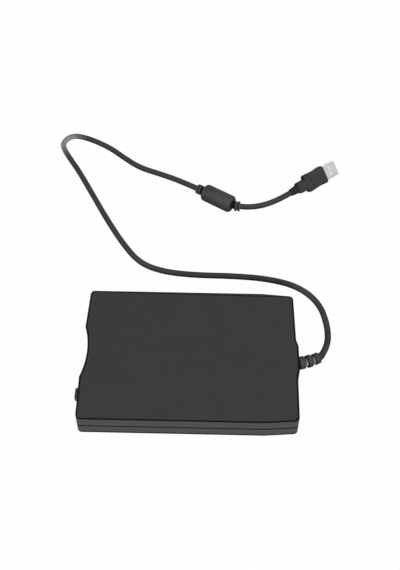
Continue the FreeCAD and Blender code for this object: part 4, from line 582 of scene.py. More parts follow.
slotFinishes = {
    "case_plastic": "case",
    "bezel_plastic": "bezel",
    "foot_rubber": "foot",
    "screw_steel": "zincScrew",
    "black_screw": "blackScrew",
    "flap_plastic": "flap",
    "spring_steel": "spring",
    "lens": "lens",
    "button_plastic": "button",
    "sheet_steel": "sheet",
    "circuit_board": "board",
    "copper_coil": "copper",
    "magnet": "magnet",
    "bronze": "bronze",
    "shaft_steel": "shaft",
    "hub_plastic": "hub",
    "carriage_plastic": "carriage",
    "head_ceramic": "ceramic",
    "component_plastic": "chip",
    "connector_plastic": "connector",
    "ribbon_film": "film",
    "cable_jacket": "cable",
    "ferrite_moulding": "ferrite",
    "plug_moulding": "plug",
    "plug_metal": "plugShell",
    "tongue_plastic": "tongue",
    "gold_contact": "gold",
}
slotOf = {entry["node"]: entry["material_slot"] for entry in frame["record"]["subparts"]}
for node, slot in slotOf.items():
    nodes[node].material_slots[0].material = finishes[slotFinishes[slot]]

upright = Matrix.Rotation(-math.pi / 2, 4, "Y")  # turns X to point up
shading = {
    "flatFrom": 12.0,  # faces of this many square millimetres or more stay flat
    "sharp": 35.0,  # and edges that turn by more than these degrees show
}


def finishPiece(name, shape, coats, body, replaced=()):
    for face in shape.faces:
        face.smooth = face.calc_area() < shading["flatFrom"]
    bmesh.ops.scale(shape, vec=(mm,) * 3, verts=shape.verts)
    mesh = bpy.data.meshes.new(name)
    shape.to_mesh(mesh)
    shape.free()
    oldNormals = mesh.attributes.get("custom_normal")
    if oldNormals:
        mesh.attributes.remove(oldNormals)
    mesh.set_sharp_from_angle(angle=math.radians(shading["sharp"]))
    for coat in coats:
        mesh.materials.append(finishes[coat])
    piece = bpy.data.objects.new(name, mesh)
    bpy.context.scene.collection.objects.link(piece)
    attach(piece, body)
    if replaced:
        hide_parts(*replaced)
    return piece


def standIn(node, shape, body, extra=()):
    # a detailed piece in the place and finish of one CAD node
    first, *others = node.split("_")
    name = first + "".join(word.title() for word in others)
    slot = slotOf[node]
    return finishPiece(name, shape, [slotFinishes[slot], *extra], body, [node])


print("stage: cable")

cable = {
    "diameter": 4.4,
    "firstRoute": [
        (88.9, 8.4, 6.9), (93.9, 17.6, 4.2), (95.5, 35.5, 2.2), (90.9, 57.4, 2.2), (76.0, 72.9, 2.2),
        (53.5, 79.5, 2.2), (28.0, 81.4, 2.2), (1.0, 81.5, 2.2), (-22.5, 84.4, 2.2), (-40.0, 92.6, 2.2),
        (-53.8, 111.8, 2.2), (-68.0, 137.0, 2.2), (-81.3, 163.2, 2.2), (-94.9, 189.8, 2.2),
        (-103.1, 203.5, 2.2), (-109.8, 215.6, 2.2), (-112.1, 222.6, 2.2), (-109.8, 229.5, 2.2),
        (-104.1, 233.4, 2.2), (-97.0, 232.5, 2.2), (-86.6, 228.1, 2.2), (-72.0, 218.9, 2.2),
        (-59.6, 207.2, 2.2), (-46.6, 196.0, 2.2), (-30.0, 188.4, 2.8), (-13.0, 178.0, 5.2),
        (1.6, 167.4, 6.9),
    ],
    "secondRoute": [
        (34.6, 148.6, 6.9), (40.8, 148.6, 6.2), (50.4, 151.0, 5.5), (60.0, 155.6, 5.2),
        (69.1, 161.6, 5.5), (74.4, 165.4, 6.1),
    ],
    "firstLength": 479.0,
    "secondLength": 44.2,
    "steps": 10,  # between two points of a route
    "roundness": 12,
}


def cableCurve(name, points, radius):
    data = bpy.data.curves.new(name, "CURVE")
    data.dimensions = "3D"
    line = data.splines.new("NURBS")
    line.points.add(len(points) - 1)
    for spot, place in zip(line.points, points):
        spot.co = (*(Vector(place) * mm), 1)
    line.order_u = 3
    line.use_endpoint_u = True
    data.resolution_u = cable["steps"]
    data.bevel_depth = radius * mm
    data.bevel_resolution = cable["roundness"]
    data.use_fill_caps = True
    curve = bpy.data.objects.new(name, data)
    bpy.context.scene.collection.objects.link(curve)
    return curve


def tubeAlong(points, radius):
    # a short smooth tube as a mesh, for the pieces at the cable's ends
    curve = cableCurve("line", points, radius)
    bpy.context.view_layer.update()
    mesh = bpy.data.meshes.new_from_object(curve)
    data = curve.data
    bpy.data.objects.remove(curve)
    bpy.data.curves.remove(data)
    part = bmesh.new()
    part.from_mesh(mesh)
    bpy.data.meshes.remove(mesh)
    bmesh.ops.scale(part, vec=(1 / mm,) * 3, verts=part.verts)
    return closeUp(part)


def aimed(place, heading, roll=0.0):
    # X along the heading, Y level, Z up, then rolled about X
    along = Vector(heading).normalized()
    side = Vector((0, 0, 1)).cross(along)
    side = side.normalized() if side.length > 0.001 else Vector((0, 1, 0))
    turn = Matrix((along, side, along.cross(side))).transposed().to_4x4()
    return Matrix.Translation(Vector(place)) @ turn @ Matrix.Rotation(math.radians(roll), 4, "X")


def pinMark(radius):
    # the round trace that an ejector pin leaves, in (height, radius) points: a hollow inside a low rim
    return turned([
        (-0.3, 0), (-0.3, radius + 0.1), (0.03, radius + 0.06), (0.07, radius), (0.06, radius - 0.08),
        (0.03, radius * 0.6), (0.02, 0),
    ], steps=20)


def freeCable(name, route, node):
    piece = cableCurve(name, route, cable["diameter"] / 2)
    piece.data.materials.append(finishes["cable"])
    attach(piece, "case")
    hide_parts(node)
    return piece


firstCable = freeCable("usbCableLong", cable["firstRoute"], "usb_cord_a")
secondCable = freeCable("usbCableShort", cable["secondRoute"], "usb_cord_b")

strainRelief = {
    "start": (66.9, 0.2, 9.0),
    "sleeve": [(83.4, 3.2, 8.6), (87.0, 5.0, 7.7), (88.9, 8.4, 6.9)],
    "sleeveRadius": 2.45,
    "core": 3.1,
    "flange": (1.6, 5.6),  # length and radius
    "neck": (6.0, 3.3),
    "neckRim": 0.2,
    "ribRim": 0.65,
    "dive": 0.15,
    "ribs": [  # the middle of each, its heading in degrees, its length and its radius
        ((74.6, 0.1, 9.0), 16.0, 4.3, 4.4),
        ((79.7, 1.7, 8.8), 26.0, 3.6, 4.3),
        ((84.7, 4.2, 8.3), 33.0, 4.2, 3.9),
    ],
}


def makeStrainRelief():
    look = strainRelief
    shape = bmesh.new()
    addPart(shape, tubeAlong(look["sleeve"], look["sleeveRadius"]), coat=1)
    # the core that shows between the ribs carries a painted highlight
    addPart(shape, tubeAlong([look["start"], *(rib[0] for rib in look["ribs"])], look["core"]), coat=2)
    for length, radius in (look["flange"], look["neck"]):
        middle = Vector(look["start"]) + Vector((length / 2, 0, 0))
        addPart(shape, disc(length, radius, look["neckRim"]), aimed(middle, (1, 0, 0)))
    for middle, heading, length, radius in look["ribs"]:
        turn = math.radians(heading)
        place = aimed(middle, (math.cos(turn), math.sin(turn), -math.sin(turn) * look["dive"]))
        rib = disc(length, radius, look["ribRim"])
        # painted shade on the rib ends
        for face in rib.faces:
            face.material_index = 3 if abs(face.normal.x) > 0.3 else 0  # darker ends
        addPart(shape, rib, place)
    coats = ["relief", "cable", "reliefCore", "caseEdge"]
    return finishPiece("strainRelief", shape, coats, "case", ["strain_relief"])


ferriteSleeve = {
    "radius": 6.8,
    "length": 26.0,
    "nose": 2.3,
    "collarRadius": 3.9,
    "collarLength": 4.6,
    "collarGroove": 0.9,
    "collarRing": 1.6,
    "collarRim": 0.3,
    "firstRing": 0.92,
    "ringPitch": 2.45,
    "faceMiddle": 138.0,  # the moulded faces point up and forwards, and the other way
    "root": 0.6,  # how far under the surface the ribs and the frame begin
    "ribs": 5,
    "firstRib": -6.9,
    "ribPitch": 2.97,
    "ribRise": 0.42,
    "sink": 0.06,  # the hollows between the ribs lie this far under the barrel's surface
    "ribHalfAngle": 31.0,
    "ribFade": 9.0,
    "ribSteps": 8,
    "frameHalfAngle": 44.0,
    "frameHalfLength": 11.4,
    "frameRise": 0.15,
    "frameDip": 0.12,  # the barrel's noses have begun to fall at the frame's ends
    "frameWidth": 0.5,
    "frameEase": 1.0,  # the bead rises in two steps of this length
    "pinMarks": [  # along, and angle from the middle
        (-9.0, -24), (-9.0, 28), (6.9, -22), (8.5, 6), (6.9, 27),
    ],
    "pinRadius": 0.42,
}


def ferriteEnds():
    look = ferriteSleeve
    start, end = Vector(cable["firstRoute"][-1]), Vector(cable["secondRoute"][0])
    into = (start - Vector(cable["firstRoute"][-2])).normalized()
    out = (Vector(cable["secondRoute"][1]) - end).normalized()
    first = start + into * look["collarLength"]
    last = end - out * look["collarLength"]
    return start, into, first, last, out, end


def ribField(middle):
    # soft ribs across one moulded face, which fade out at both ends
    look = ferriteSleeve
    radius, half = look["radius"], look["ribHalfAngle"]
    start = look["firstRib"] - look["ribPitch"] / 2
    root, sunk, steps = radius - look["root"], radius - look["sink"], look["ribSteps"]
    profile = [(start, root)]
    for k in range(look["ribs"] * steps + 1):
        swell = 0.5 - 0.5 * math.cos(2 * math.pi * k / steps)
        profile.append((start + look["ribPitch"] * k / steps, sunk + look["ribRise"] * swell))
    profile.append((profile[-1][0], root))
    part = strip(profile, 24, 2 * half, middle - half)
    for spot in part.verts:
        height = math.hypot(spot.co.y, spot.co.z)
        if height < sunk:
            continue
        offset = (math.degrees(math.atan2(spot.co.z, spot.co.y)) - middle + 180) % 360 - 180
        share = min(1.0, (half - abs(offset)) / look["ribFade"])
        wanted = sunk + (height - sunk) * share * share * (3 - 2 * share)
        spot.co.y *= wanted / height
        spot.co.z *= wanted / height
    return part


def faceFrame(middle):
    # a fine bead round one moulded face: two hoops and two straight runs
    look = ferriteSleeve
    width, reach, half = look["frameWidth"], look["frameHalfLength"], look["frameHalfAngle"]
    ease = look["frameEase"]
    root = look["radius"] - look["root"]
    crest = look["radius"] + look["frameRise"]
    dipped = crest - look["frameDip"]
    slim = math.degrees(width / look["radius"])
    run = [
        (-reach, root), (ease - reach, dipped), (2 * ease - reach, crest),
        (reach - 2 * ease, crest), (reach - ease, dipped), (reach, root),
    ]
    part = bmesh.new()
    for side in (-1, 1):
        along = side * (reach - width / 2)
        hoop = [
            (along - width / 2, root), (along - width / 4, dipped),
            (along + width / 4, dipped), (along + width / 2, root),
        ]
        addPart(part, strip(hoop, 24, 2 * half, middle - half))
        addPart(part, strip(run, 3, slim, middle + side * half - slim / 2))
    return part


def makeFerriteSleeve():
    look = ferriteSleeve
    start, into, first, last, out, end = ferriteEnds()
    place = aimed((first + last) / 2, last - first)
    shape = bmesh.new()
    addPart(shape, disc(look["length"], look["radius"], look["nose"], steps=64, bends=6), place)
    for middle in (look["faceMiddle"], look["faceMiddle"] + 180):  # both halves of the mould
        addPart(shape, ribField(middle), place)
        addPart(shape, faceFrame(middle), place)
        for along, angle in look["pinMarks"]:
            turn = Matrix.Rotation(math.radians(middle + angle), 4, "X")
            surface = place @ turn @ Matrix.Translation((along, look["radius"], 0))
            outward = surface @ Matrix.Rotation(math.pi / 2, 4, "Z")
            addPart(shape, pinMark(look["pinRadius"]), outward, coat=1)
    groove = look["collarRadius"] - look["collarGroove"]
    # the groove between the collar rings gets painted shade
    addPart(shape, tubeAlong([start, first, last, end], groove), coat=2)
    for k in (0, 1):
        offset = look["firstRing"] + look["ringPitch"] * k
        for spot in (aimed(start + into * offset, into), aimed(end - out * offset, out)):
            addPart(shape, disc(look["collarRing"], look["collarRadius"], look["collarRim"]), spot)
    return standIn("ferrite_sleeve", shape, "case", ["mark", "caseEdge"])


plug = {
    "ringPitch": 2.3,
    "ringRadii": [2.95, 3.2, 3.5],
    "ringLength": 1.6,
    "ringRim": 0.4,
    "coreWall": 0.3,  # what lies round the cable between the rings
    "neckLength": 7.6,
    "neckWidth": 8.8,
    "neckHeight": 7.0,
    "neckRound": 1.3,
    "overlap": 1.0,  # how far the neck and the core go on into what follows
    "length": 19.1,
    "width": 14.3,
    "waist": 0.45,  # how far each side pulls in between shoulder and front
    "waistAt": 10.3,
    "waistReach": 8.0,
    "height": 7.8,
    "corner": 1.5,
    "sections": 32,
    "roll": 48.4,
    "frameInset": 1.1,
    "frameRise": 0.1,
    "pinMarks": [(4.5, 2.0), (4.5, -2.0)],  # from the shoulder, and across
    "pinRadius": 0.48,
    "shellWidth": 12.0,
    "shellHeight": 4.5,
    "shellSheet": 0.3,
    "shellReach": 11.15,
    "shellRoot": 4.5,
    "shellCorner": 0.7,
    "window": 2.2,
    "windowSide": 2.6,
    "windowFromTip": 6.2,
}
plugRings = len(plug["ringRadii"]) * plug["ringPitch"]
plugShoulder = plugRings + plug["neckLength"]  # where the grip's wide part begins


def plugPlace():
    end, before = Vector(cable["secondRoute"][-1]), Vector(cable["secondRoute"][-2])
    return aimed(end, end - before, plug["roll"])


def gripBody(inset, halfHeight):
    # a flat block with a slight waist, rounded all round, drawn in by the inset at its rim
    look = plug
    low, high, corner = inset, look["length"] - inset, look["corner"]
    stations = []
    for k in range(look["sections"] + 1):
        along = low + (high - low) * (0.5 - 0.5 * math.cos(math.pi * k / look["sections"]))
        toEnd = min(along - low, high - along)
        pull = corner - math.sqrt(corner ** 2 - max(0.0, corner - toEnd) ** 2)
        fromWaist = min(1.0, abs(along - look["waistAt"]) / look["waistReach"])
        halfWidth = look["width"] / 2 - inset - math.cos(fromWaist * math.pi / 2) ** 2 * look["waist"]
        stations.append((along, halfWidth - pull, halfHeight - pull))
    return lofted(stations)


def makePlugGrip():
    look = plug
    shape = bmesh.new()
    shoulder, face = Matrix.Translation((plugShoulder, 0, 0)), look["height"] / 2 + look["frameRise"]
    addPart(shape, gripBody(0, look["height"] / 2), shoulder)
    addPart(shape, gripBody(look["frameInset"], face), shoulder)
    halfWidth, halfHeight, overlap = look["neckWidth"] / 2, look["neckHeight"] / 2, look["overlap"]
    neckEnd = (plugShoulder + overlap, halfWidth, halfHeight)
    addPart(shape, block((plugRings, -halfWidth, -halfHeight), neckEnd, look["neckRound"], 4))
    for k, radius in enumerate(look["ringRadii"]):
        middle = (k + 0.5) * look["ringPitch"]
        ring = disc(look["ringLength"], radius, look["ringRim"])
        addPart(shape, ring, Matrix.Translation((middle, 0, 0)))
    core, coreEnd = cable["diameter"] / 2 + look["coreWall"], plugRings + overlap
    # the core between the rings gets painted shade
    addPart(shape, turned([(0, 0), (0, core), (coreEnd, core), (coreEnd, 0)]), coat=2)
    for along, across in look["pinMarks"]:
        for side in (1, -1):
            surface = Matrix.Translation((plugShoulder + along, across, side * face))
            outward = surface @ Matrix.Rotation(-side * math.pi / 2, 4, "Y")
            addPart(shape, pinMark(look["pinRadius"]), outward, coat=1)
    bmesh.ops.transform(shape, matrix=plugPlace(), verts=shape.verts)
    return standIn("plug_grip", shape, "case", ["mark", "caseEdge"])


def makePlugShell():
    look = plug
    front = plugShoulder + look["length"]
    root, tip = front - look["shellRoot"], front + look["shellReach"]
    halfWidth, halfHeight = look["shellWidth"] / 2, look["shellHeight"] / 2
    shape = block((root, -halfWidth, -halfHeight), (tip, halfWidth, halfHeight))
    ends = [face for face in shape.faces if abs(face.normal.x) > 0.9]
    bmesh.ops.delete(shape, geom=ends, context="FACES_ONLY")
    soften(shape, [edge for edge in shape.edges if edge.is_manifold], look["shellCorner"], 4)
    half = look["window"] / 2
    windowEnds = [tip - look["windowFromTip"] + reach for reach in (-half, half)]
    windowSides = [side * look["windowSide"] + reach for side in (-1, 1) for reach in (-half, half)]
    for x in windowEnds:
        cutAcross(shape, (x, 0, 0), (1, 0, 0))
    for y in windowSides:
        cutAcross(shape, (0, y, 0), (0, 1, 0))
    windows = []
    for face in shape.faces:
        middle = face.calc_center_median()
        inLength = windowEnds[0] < middle.x < windowEnds[1]
        inWidth = abs(abs(middle.y) - look["windowSide"]) < half
        if inLength and inWidth and abs(face.normal.z) > 0.9:
            windows.append(face)
    bmesh.ops.delete(shape, geom=windows, context="FACES")
    bmesh.ops.recalc_face_normals(shape, faces=shape.faces)
    bmesh.ops.solidify(shape, geom=shape.faces[:], thickness=look["shellSheet"])
    bmesh.ops.transform(shape, matrix=plugPlace(), verts=shape.verts)
    return standIn("plug_shell", shape, "case")


relief = makeStrainRelief()
sleeve = makeFerriteSleeve()
grip = makePlugGrip()
shell = makePlugShell()

print("stage: case")

case = {
    # painted shade: the near-black bands below stand in for shade on the top edge, the seam and the bottom
    # edge
    "edgeBand": 0.8,  # the dark edge round the top: its width, and how far it comes down
    "edgeDepth": 0.75,
    "edgeStart": 2.0,  # it leaves out the near side, as far as this
    "groove": (16.6, 17.3),
    "seam": 9.0,
    "seamHeight": 0.5,
    "lip": 0.3,
    "insideSeam": 4.0,  # the lower shell is dark up to this far above the seam
    "bottomBand": 2.1,
}


def paintShade(shape, low, high, slack=0.02):
    # paints shade, as the near-black finish, on what lies between two heights
    for face in shape.faces:
        heights = [spot.co.z for spot in face.verts]
        if min(heights) > low - slack and max(heights) < high + slack:
            face.material_index = 1


def makeUpperShell():
    look = case
    shape = cadCopy("upper_shell")
    low, high = nodeBox("upper_shell")
    seamTop = look["seam"] + look["seamHeight"] + look["lip"]
    # painted shade on the seam's lip and on the groove
    cutAcross(shape, (0, 0, seamTop), (0, 0, 1))
    paintShade(shape, look["seam"], seamTop)
    paintShade(shape, *look["groove"])
    # painted shade on the top edge's rounding, and on a band round the roof except at the lit near side
    for face in shape.faces:
        if face.calc_center_median().z > high.z - look["edgeDepth"] and -0.5 < face.normal.z < 0.99:
            face.material_index = 1
    roof = max((face for face in shape.faces if face.normal.z > 0.99), key=lambda face: face.calc_area())
    ring = bmesh.ops.inset_region(shape, faces=[roof], thickness=look["edgeBand"], use_even_offset=True)
    for face in ring["faces"]:
        if face.calc_center_median().y > low.y + look["edgeStart"]:
            face.material_index = 1
    return standIn("upper_shell", shape, "case", ["caseEdge"])


def makeLowerShell():
    look = case
    shape = cadCopy("lower_shell")
    bandTop = nodeBox("lower_shell")[0].z + look["bottomBand"]
    lip = look["seam"] - look["lip"]
    # painted shade on the lip above the seam, and on a band along the bottom edge
    cutAcross(shape, (0, 0, lip), (0, 0, 1))
    paintShade(shape, lip, look["seam"] + look["insideSeam"])
    cutAcross(shape, (0, 0, bandTop), (0, 0, 1))
    for face in shape.faces:
        if face.calc_center_median().z < bandTop and abs(face.normal.z) < 0.99:
            face.material_index = 1
    return standIn("lower_shell", shape, "case", ["caseEdge"])


makeUpperShell()
makeLowerShell()

print("stage: feet and screws")

rubberFoot = {
    "rim": 0.35,
    "ringRadius": 2.6,  # a moulded ring round the hollow middle of the tread
    "ringWidth": 0.5,
    "ringDepth": 0.25,
}


def makeRubberFeet():
    look = rubberFoot
    rim, ring, half, depth = look["rim"], look["ringRadius"], look["ringWidth"] / 2, look["ringDepth"]
    tread = [
        (depth, 0), (depth, ring - 3 * half), (0, ring - 2 * half), (0, ring - half),
        (depth, ring - half / 2), (depth, ring + half / 2), (0, ring + half),
    ]
    shape = bmesh.new()
    for low, high in solidPlaces("rubber_feet"):
        radius, height = (high.x - low.x) / 2, high.z - low.z
        rise = quarterRound(0, radius, -rim, rim, 4)[::-1]
        middle = Vector(((low.x + high.x) / 2, (low.y + high.y) / 2, low.z))
        foot = turned([*tread, *rise, (height, radius), (height, 0)], 48)
        addPart(shape, foot, Matrix.Translation(middle) @ upright)
    return standIn("rubber_feet", shape, "case")


makeRubberFeet()

screwLook = {
    "sides": 48,
    "dome": 0.5,  # height of the rounded part, of the head's height
    "crown": 0.72,  # flat top of the head, of its radius
    "armWidth": 0.13,  # half width of the cross, of the head's radius
    "armReach": 0.52,
    "recess": 0.6,  # depth, of the head's height
    "taper": 0.6,  # size of the cross at its bottom, of that at its top
    "pitch": 0.5,
    "root": 0.8,
    "rootWidth": 0.3,  # where the thread's root ends and its crest stands, of one pitch
    "crest": 0.65,
    "tip": 0.6,
}


def crossHead(radius, height):
    # a domed head that faces X, with its top at 0 and a tapered cross cut into it
    look = screwLook
    rise = quarterRound(0, radius, height * look["dome"], radius * (1 - look["crown"]), 5)
    part = turned([(-height, 0), (-height, radius), *rise], look["sides"])
    rim = [edge for edge in part.edges if edge.is_boundary]
    spots = bmesh.ops.create_circle(part, cap_ends=False, radius=1, segments=look["sides"])["verts"]
    for spot in spots:
        angle = math.atan2(spot.co.y, spot.co.x)
        nearest = (angle + math.pi / 4) % (math.pi / 2) - math.pi / 4
        side = look["armWidth"] / max(0.001, abs(math.sin(nearest)))
        reach = radius * min(look["armReach"] / math.cos(nearest), side)
        spot.co = (0, reach * math.cos(angle), reach * math.sin(angle))
    cross = list({edge for spot in spots for edge in spot.link_edges})
    bmesh.ops.bridge_loops(part, edges=rim + cross)
    sunk = bmesh.ops.extrude_edge_only(part, edges=cross)["geom"]
    for spot in (item for item in sunk if isinstance(item, bmesh.types.BMVert)):
        spot.co = (-height * look["recess"], spot.co.y * look["taper"], spot.co.z * look["taper"])
    bmesh.ops.holes_fill(part, edges=[item for item in sunk if isinstance(item, bmesh.types.BMEdge)])
    bmesh.ops.recalc_face_normals(part, faces=part.faces)
    return part


def screwAlong(place, headRadius, headHeight, shankRadius, length):
    # the head faces X at the place, and the threaded shank runs back from it
    look = screwLook
    root = shankRadius * look["root"]
    part = bmesh.new()
    addPart(part, crossHead(headRadius, headHeight))
    turns = max(2, round((length - headHeight) / look["pitch"]))
    step = (length - headHeight) / turns
    thread = [(-headHeight, 0), (-headHeight, root)]
    for k in range(turns):
        start = -headHeight - step * k
        thread += [(start - step * look["rootWidth"], root), (start - step * look["crest"], shankRadius)]
    thread += [(-length, shankRadius * look["tip"]), (-length, 0)]
    addPart(part, turned(thread[::-1], 24))
    bmesh.ops.transform(part, matrix=place, verts=part.verts)
    return part


screws = {  # CAD node: head radius, head height, shank radius
    "case_screws": (2.0, 0.9, 1.0),
    "drive_mount_screws": (2.0, 0.9, 1.0),
    "cover_screws": (1.6, 0.6, 0.9),
}


def makeScrews(node):
    shape = bmesh.new()
    for low, high in solidPlaces(node):
        middle = (low + high) / 2
        if node == "cover_screws":  # these go in from the sides, the others from below
            outer = low.y if middle.y < 0 else high.y
            turn = math.copysign(math.pi / 2, middle.y)
            place = Matrix.Translation((middle.x, outer, middle.z)) @ Matrix.Rotation(turn, 4, "Z")
            length = high.y - low.y
        else:
            place = Matrix.Translation((middle.x, middle.y, low.z)) @ Matrix.Rotation(math.pi / 2, 4, "Y")
            length = high.z - low.z
        addPart(shape, screwAlong(place, *screws[node], length))
    return standIn(node, shape, "case")


for node in screws:
    makeScrews(node)

print("stage: springs and thread")

springs = {
    "ejectTurns": 26,
    "ejectWire": 0.16,
    "ejectRadius": 0.74,
    "ejectTravel": 5.0,
    "flapTurns": 11,
    "flapWire": 0.13,
    "flapRadius": 0.61,
    "flapAxis": 0.75,  # from the spring's rear
    "flapTail": 0.15,  # from its top
    "flapBend": (0.4, 0.02),  # how far before the coil the tail bends, and how far it drops
    "leverWire": 0.11,
    "leverRadii": (1.25, 1.45, 1.65),
    "leverPitch": 0.3,
    "leverLift": (0.02, 0.06),  # of the first turn, and more for each next one
}


def coil(length, radius, wire, turns):
    # a wire wound about X, from 0 to the length, with closed ends
    part = bmesh.new()
    bmesh.ops.create_circle(part, cap_ends=False, radius=wire, segments=8)
    bmesh.ops.translate(part, vec=(wire, radius, 0), verts=part.verts)
    steps = turns * 16
    bmesh.ops.spin(
        part, geom=part.verts[:] + part.edges[:], cent=(0, 0, 0), axis=(1, 0, 0), angle=2 * math.pi * turns,
        steps=steps, dvec=((length - 2 * wire) / steps, 0, 0),
    )
    bmesh.ops.holes_fill(part, edges=part.edges)
    bmesh.ops.recalc_face_normals(part, faces=part.faces)
    return part


def makeEjectSprings():
    look = springs
    shape = bmesh.new()
    for low, high in solidPlaces("eject_springs"):
        length = high.x - low.x
        place = Matrix.Translation((low.x, (low.y + high.y) / 2, (low.z + high.z) / 2))
        addPart(shape, coil(length, look["ejectRadius"], look["ejectWire"], look["ejectTurns"]), place)
    piece = standIn("eject_springs", shape, "case")
    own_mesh(piece)


def makeFlapSpring():
    look = springs
    low, high = nodeBox("flap_spring")
    middle = Vector((high.x - look["flapAxis"], low.y, (low.z + high.z) / 2))
    shape = coil(high.y - low.y, look["flapRadius"], look["flapWire"], look["flapTurns"])
    along = Matrix.Translation(middle) @ Matrix.Rotation(math.pi / 2, 4, "Z")
    bmesh.ops.transform(shape, matrix=along, verts=shape.verts)
    side, top = low.y + look["flapWire"], high.z - look["flapTail"]
    before, drop = look["flapBend"]
    tail = [(low.x, side, top), (middle.x - before, side, top), (middle.x, side, top - drop)]
    addPart(shape, tubeAlong(tail, look["flapWire"]))
    return standIn("flap_spring", shape, "case")


def makeLeverSpring():
    look = springs
    low, high = nodeBox("lever_spring")
    middle = (low + high) / 2
    firstLift, nextLift = look["leverLift"]
    shape = bmesh.new()
    for k, radius in enumerate(look["leverRadii"]):
        place = Matrix.Translation((middle.x, middle.y, low.z + firstLift + nextLift * k))
        addPart(shape, coil(look["leverPitch"], radius, look["leverWire"], 1), place @ upright)
    return standIn("lever_spring", shape, "holder")


makeEjectSprings()
makeFlapSpring()
makeLeverSpring()

leadScrew = {
    "radius": 1.2,
    "journal": 0.7,
    "chamfer": 0.1,
    "lead": 3.75,
    "depth": 0.26,
    "step": 0.2,  # between the rings of points that the groove bends
    "front": 0.9,  # smooth journals in front of the thread and behind it
    "rear": 2.1,
}


def makeLeadScrew():
    look = leadScrew
    low, high = nodeBox("lead_screw")
    journal, edge = look["journal"], look["chamfer"]
    start, end = low.x + look["front"], high.x - look["rear"]
    count = round((end - start) / look["step"])
    bar = [(start + (end - start) * k / count, look["radius"]) for k in range(count + 1)]
    part = turned([
        (low.x, 0), (low.x, journal - edge), (low.x + edge, journal), (start, journal), *bar,
        (end, journal), (high.x - edge, journal), (high.x, journal - edge), (high.x, 0),
    ])
    for spot in part.verts:
        radius = math.hypot(spot.co.y, spot.co.z)
        if radius > look["radius"] - 0.01:
            turn = math.atan2(spot.co.z, spot.co.y) - 2 * math.pi * spot.co.x / look["lead"]
            share = 1 - look["depth"] * max(0.0, math.cos(turn)) ** 2 / radius
            spot.co.y *= share
            spot.co.z *= share
    middle = Vector((0, (low.y + high.y) / 2, (low.z + high.z) / 2))
    bmesh.ops.translate(part, vec=middle, verts=part.verts)
    return standIn("lead_screw", part, "screw")


makeLeadScrew()

print("stage: motor windings")

stator = {
    "middle": -20.3,
    "inner": 10.0,
    "ringOuter": 14.0,
    "core": 0.6,
    "arms": 9,
    "armWidth": 4.6,
    "armFrom": 3.0,  # how far inside the ring the arm's core begins
    "armIn": 1.0,  # how far the core's sides lie under the wire
    "gap": 0.2,  # between the ring and the wire
    "turns": 13,
    "wire": 0.42,
    "toothFrom": 20.5,
    "outer": 21.5,
    "toothBevel": 0.12,
    "armBevel": 0.1,
    "armOver": 0.1,  # how far the bare arm goes in under the wire
    "lift": 0.1,
}


def makeStator():
    # a steel ring of arms, each with wire wound round it
    look = stator
    low, high = nodeBox("motor_stator")
    height, half, lift = high.z - low.z, look["armWidth"] / 2, look["lift"]
    inner, outer, core, armHalf = look["inner"], look["ringOuter"], look["core"], half - look["armIn"]
    shape = bmesh.new()
    ring = turned([(0, inner), (0, outer), (core, outer), (core, inner), (0, inner)], 72)
    addPart(shape, ring, upright, 1)
    start, sections = outer + look["gap"], 4 * look["turns"]
    stations = []
    for step in range(sections + 1):
        swell = look["wire"] / 2 * (1 - abs(math.cos(math.pi * step / 4))) - look["wire"] / 2
        along = start + (look["toothFrom"] - start) * step / sections
        stations.append((along, half + swell, height / 2 + swell / 2))
    for k in range(look["arms"]):
        turn = Matrix.Rotation(2 * math.pi * k / look["arms"], 4, "Z")
        addPart(shape, lofted(stations, 0.25, 20), turn @ Matrix.Translation((0, 0, height / 2)))
        toothEnd = (look["outer"], half, height)
        armEnd = (start + look["armOver"], armHalf, height - 2 * lift)
        addPart(shape, block((look["toothFrom"], -half, lift), toothEnd, look["toothBevel"]), turn, 1)
        addPart(shape, block((inner + look["armFrom"], -armHalf, lift), armEnd, look["armBevel"]), turn, 1)
    bmesh.ops.translate(shape, vec=(look["middle"], 0, low.z), verts=shape.verts)
    return standIn("motor_stator", shape, "case", ["sheet"])


makeStator()

chip = {
    "edge": 0.75,  # how far the legs reach past the body
    "lift": 0.1,
    "legIn": 0.1,  # how far a leg goes into the body
    "bevel": 0.12,
    "legs": 11,
    "legWidth": 0.24,
    "legPitch": 0.46,
    "legSheet": 0.12,
    "knee": 0.3,  # how far out the legs bend down
    "dotRadius": 0.35,
    "dotPlace": 0.9,
}


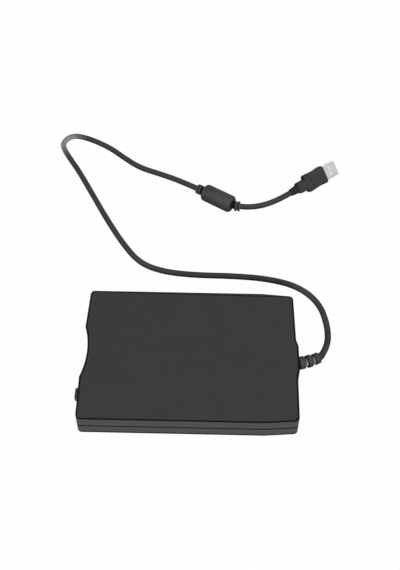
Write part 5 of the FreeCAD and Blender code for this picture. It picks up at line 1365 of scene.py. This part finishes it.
def makeChip():
    # a flat package with legs on four sides and a round dimple at its first leg
    look = chip
    low, high = nodeBox("usb_controller_chip")
    middle = (low + high) / 2
    reach, height, sheet = (high.x - low.x) / 2, high.z - low.z, look["legSheet"]
    side = reach - look["edge"]
    inside, knee = side - look["legIn"], side + look["knee"]
    shape = bmesh.new()
    addPart(shape, block((-side, -side, look["lift"]), (side, side, height), look["bevel"]))
    for k in range(4):
        turn = Matrix.Rotation(math.pi / 2 * k, 4, "Z")
        for leg in range(look["legs"]):
            y = (leg - (look["legs"] - 1) / 2) * look["legPitch"]
            near, far = y - look["legWidth"] / 2, y + look["legWidth"] / 2
            addPart(shape, block((inside, near, height / 2), (knee, far, height / 2 + sheet)), turn, 1)
            addPart(shape, block((knee - sheet, near, 0), (knee, far, height / 2)), turn, 1)
            addPart(shape, block((knee - sheet, near, 0), (reach, far, sheet)), turn, 1)
    dotRadius, corner = look["dotRadius"], look["dotPlace"] - side
    dot = turned([(-0.2, 0), (-0.2, dotRadius + 0.05), (0.01, dotRadius), (-0.02, 0)], 20)
    addPart(shape, dot, Matrix.Translation((corner, corner, height)) @ upright)
    bmesh.ops.translate(shape, vec=(middle.x, middle.y, low.z), verts=shape.verts)
    return standIn("usb_controller_chip", shape, "case", ["tin"])


makeChip()

print("stage: rounded parts")

rounded = {  # CAD node: its body, and how far its edges are rounded
    "front_bezel": ("case", 0.2),
    "eject_button": ("slider", 0.3),
    "dust_flap": ("flap", 0.2),
    "led_lens": ("case", 0.25),
    "activity_led": ("case", 0.3),
    "stepper_motor": ("case", 0.4),
    "spindle_hub": ("rotor", 0.12),
    "disk_in_switch": ("case", 0.2),
    "write_protect_switch": ("case", 0.2),
    "density_switch": ("case", 0.2),
    "disk_in_plunger": ("disk_in", 0.25),
    "write_protect_plunger": ("write_protect", 0.25),
    "density_plunger": ("density", 0.25),
    "board_parts": ("case", 0.12),
    "cable_header": ("case", 0.15),
    "ribbon_sockets": ("case", 0.12),
    "lower_head": ("carriage", 0.12),
    "upper_head": ("arm", 0.12),
    "drive_pin": ("drive_pin", 0.3),
    "rail_clamps": ("case", 0.15),
    "lever_pivot_pin": ("holder", 0.1),
}
button = {
    "end": 0.5,  # depth of its outer end
    "reach": 0.6,  # how much further that stands out
}


def roundedCopy(node):
    body, width = rounded[node]
    shape = cadCopy(node)
    if node == "eject_button":
        front = nodeBox(node)[0].x
        for spot in shape.verts:
            if spot.co.x < front + button["end"]:
                spot.co.x -= button["reach"]
    soften(shape, sharpEdges(shape, 40), width, 3)
    return standIn(node, shape, body)


for node in rounded:
    roundedCopy(node)
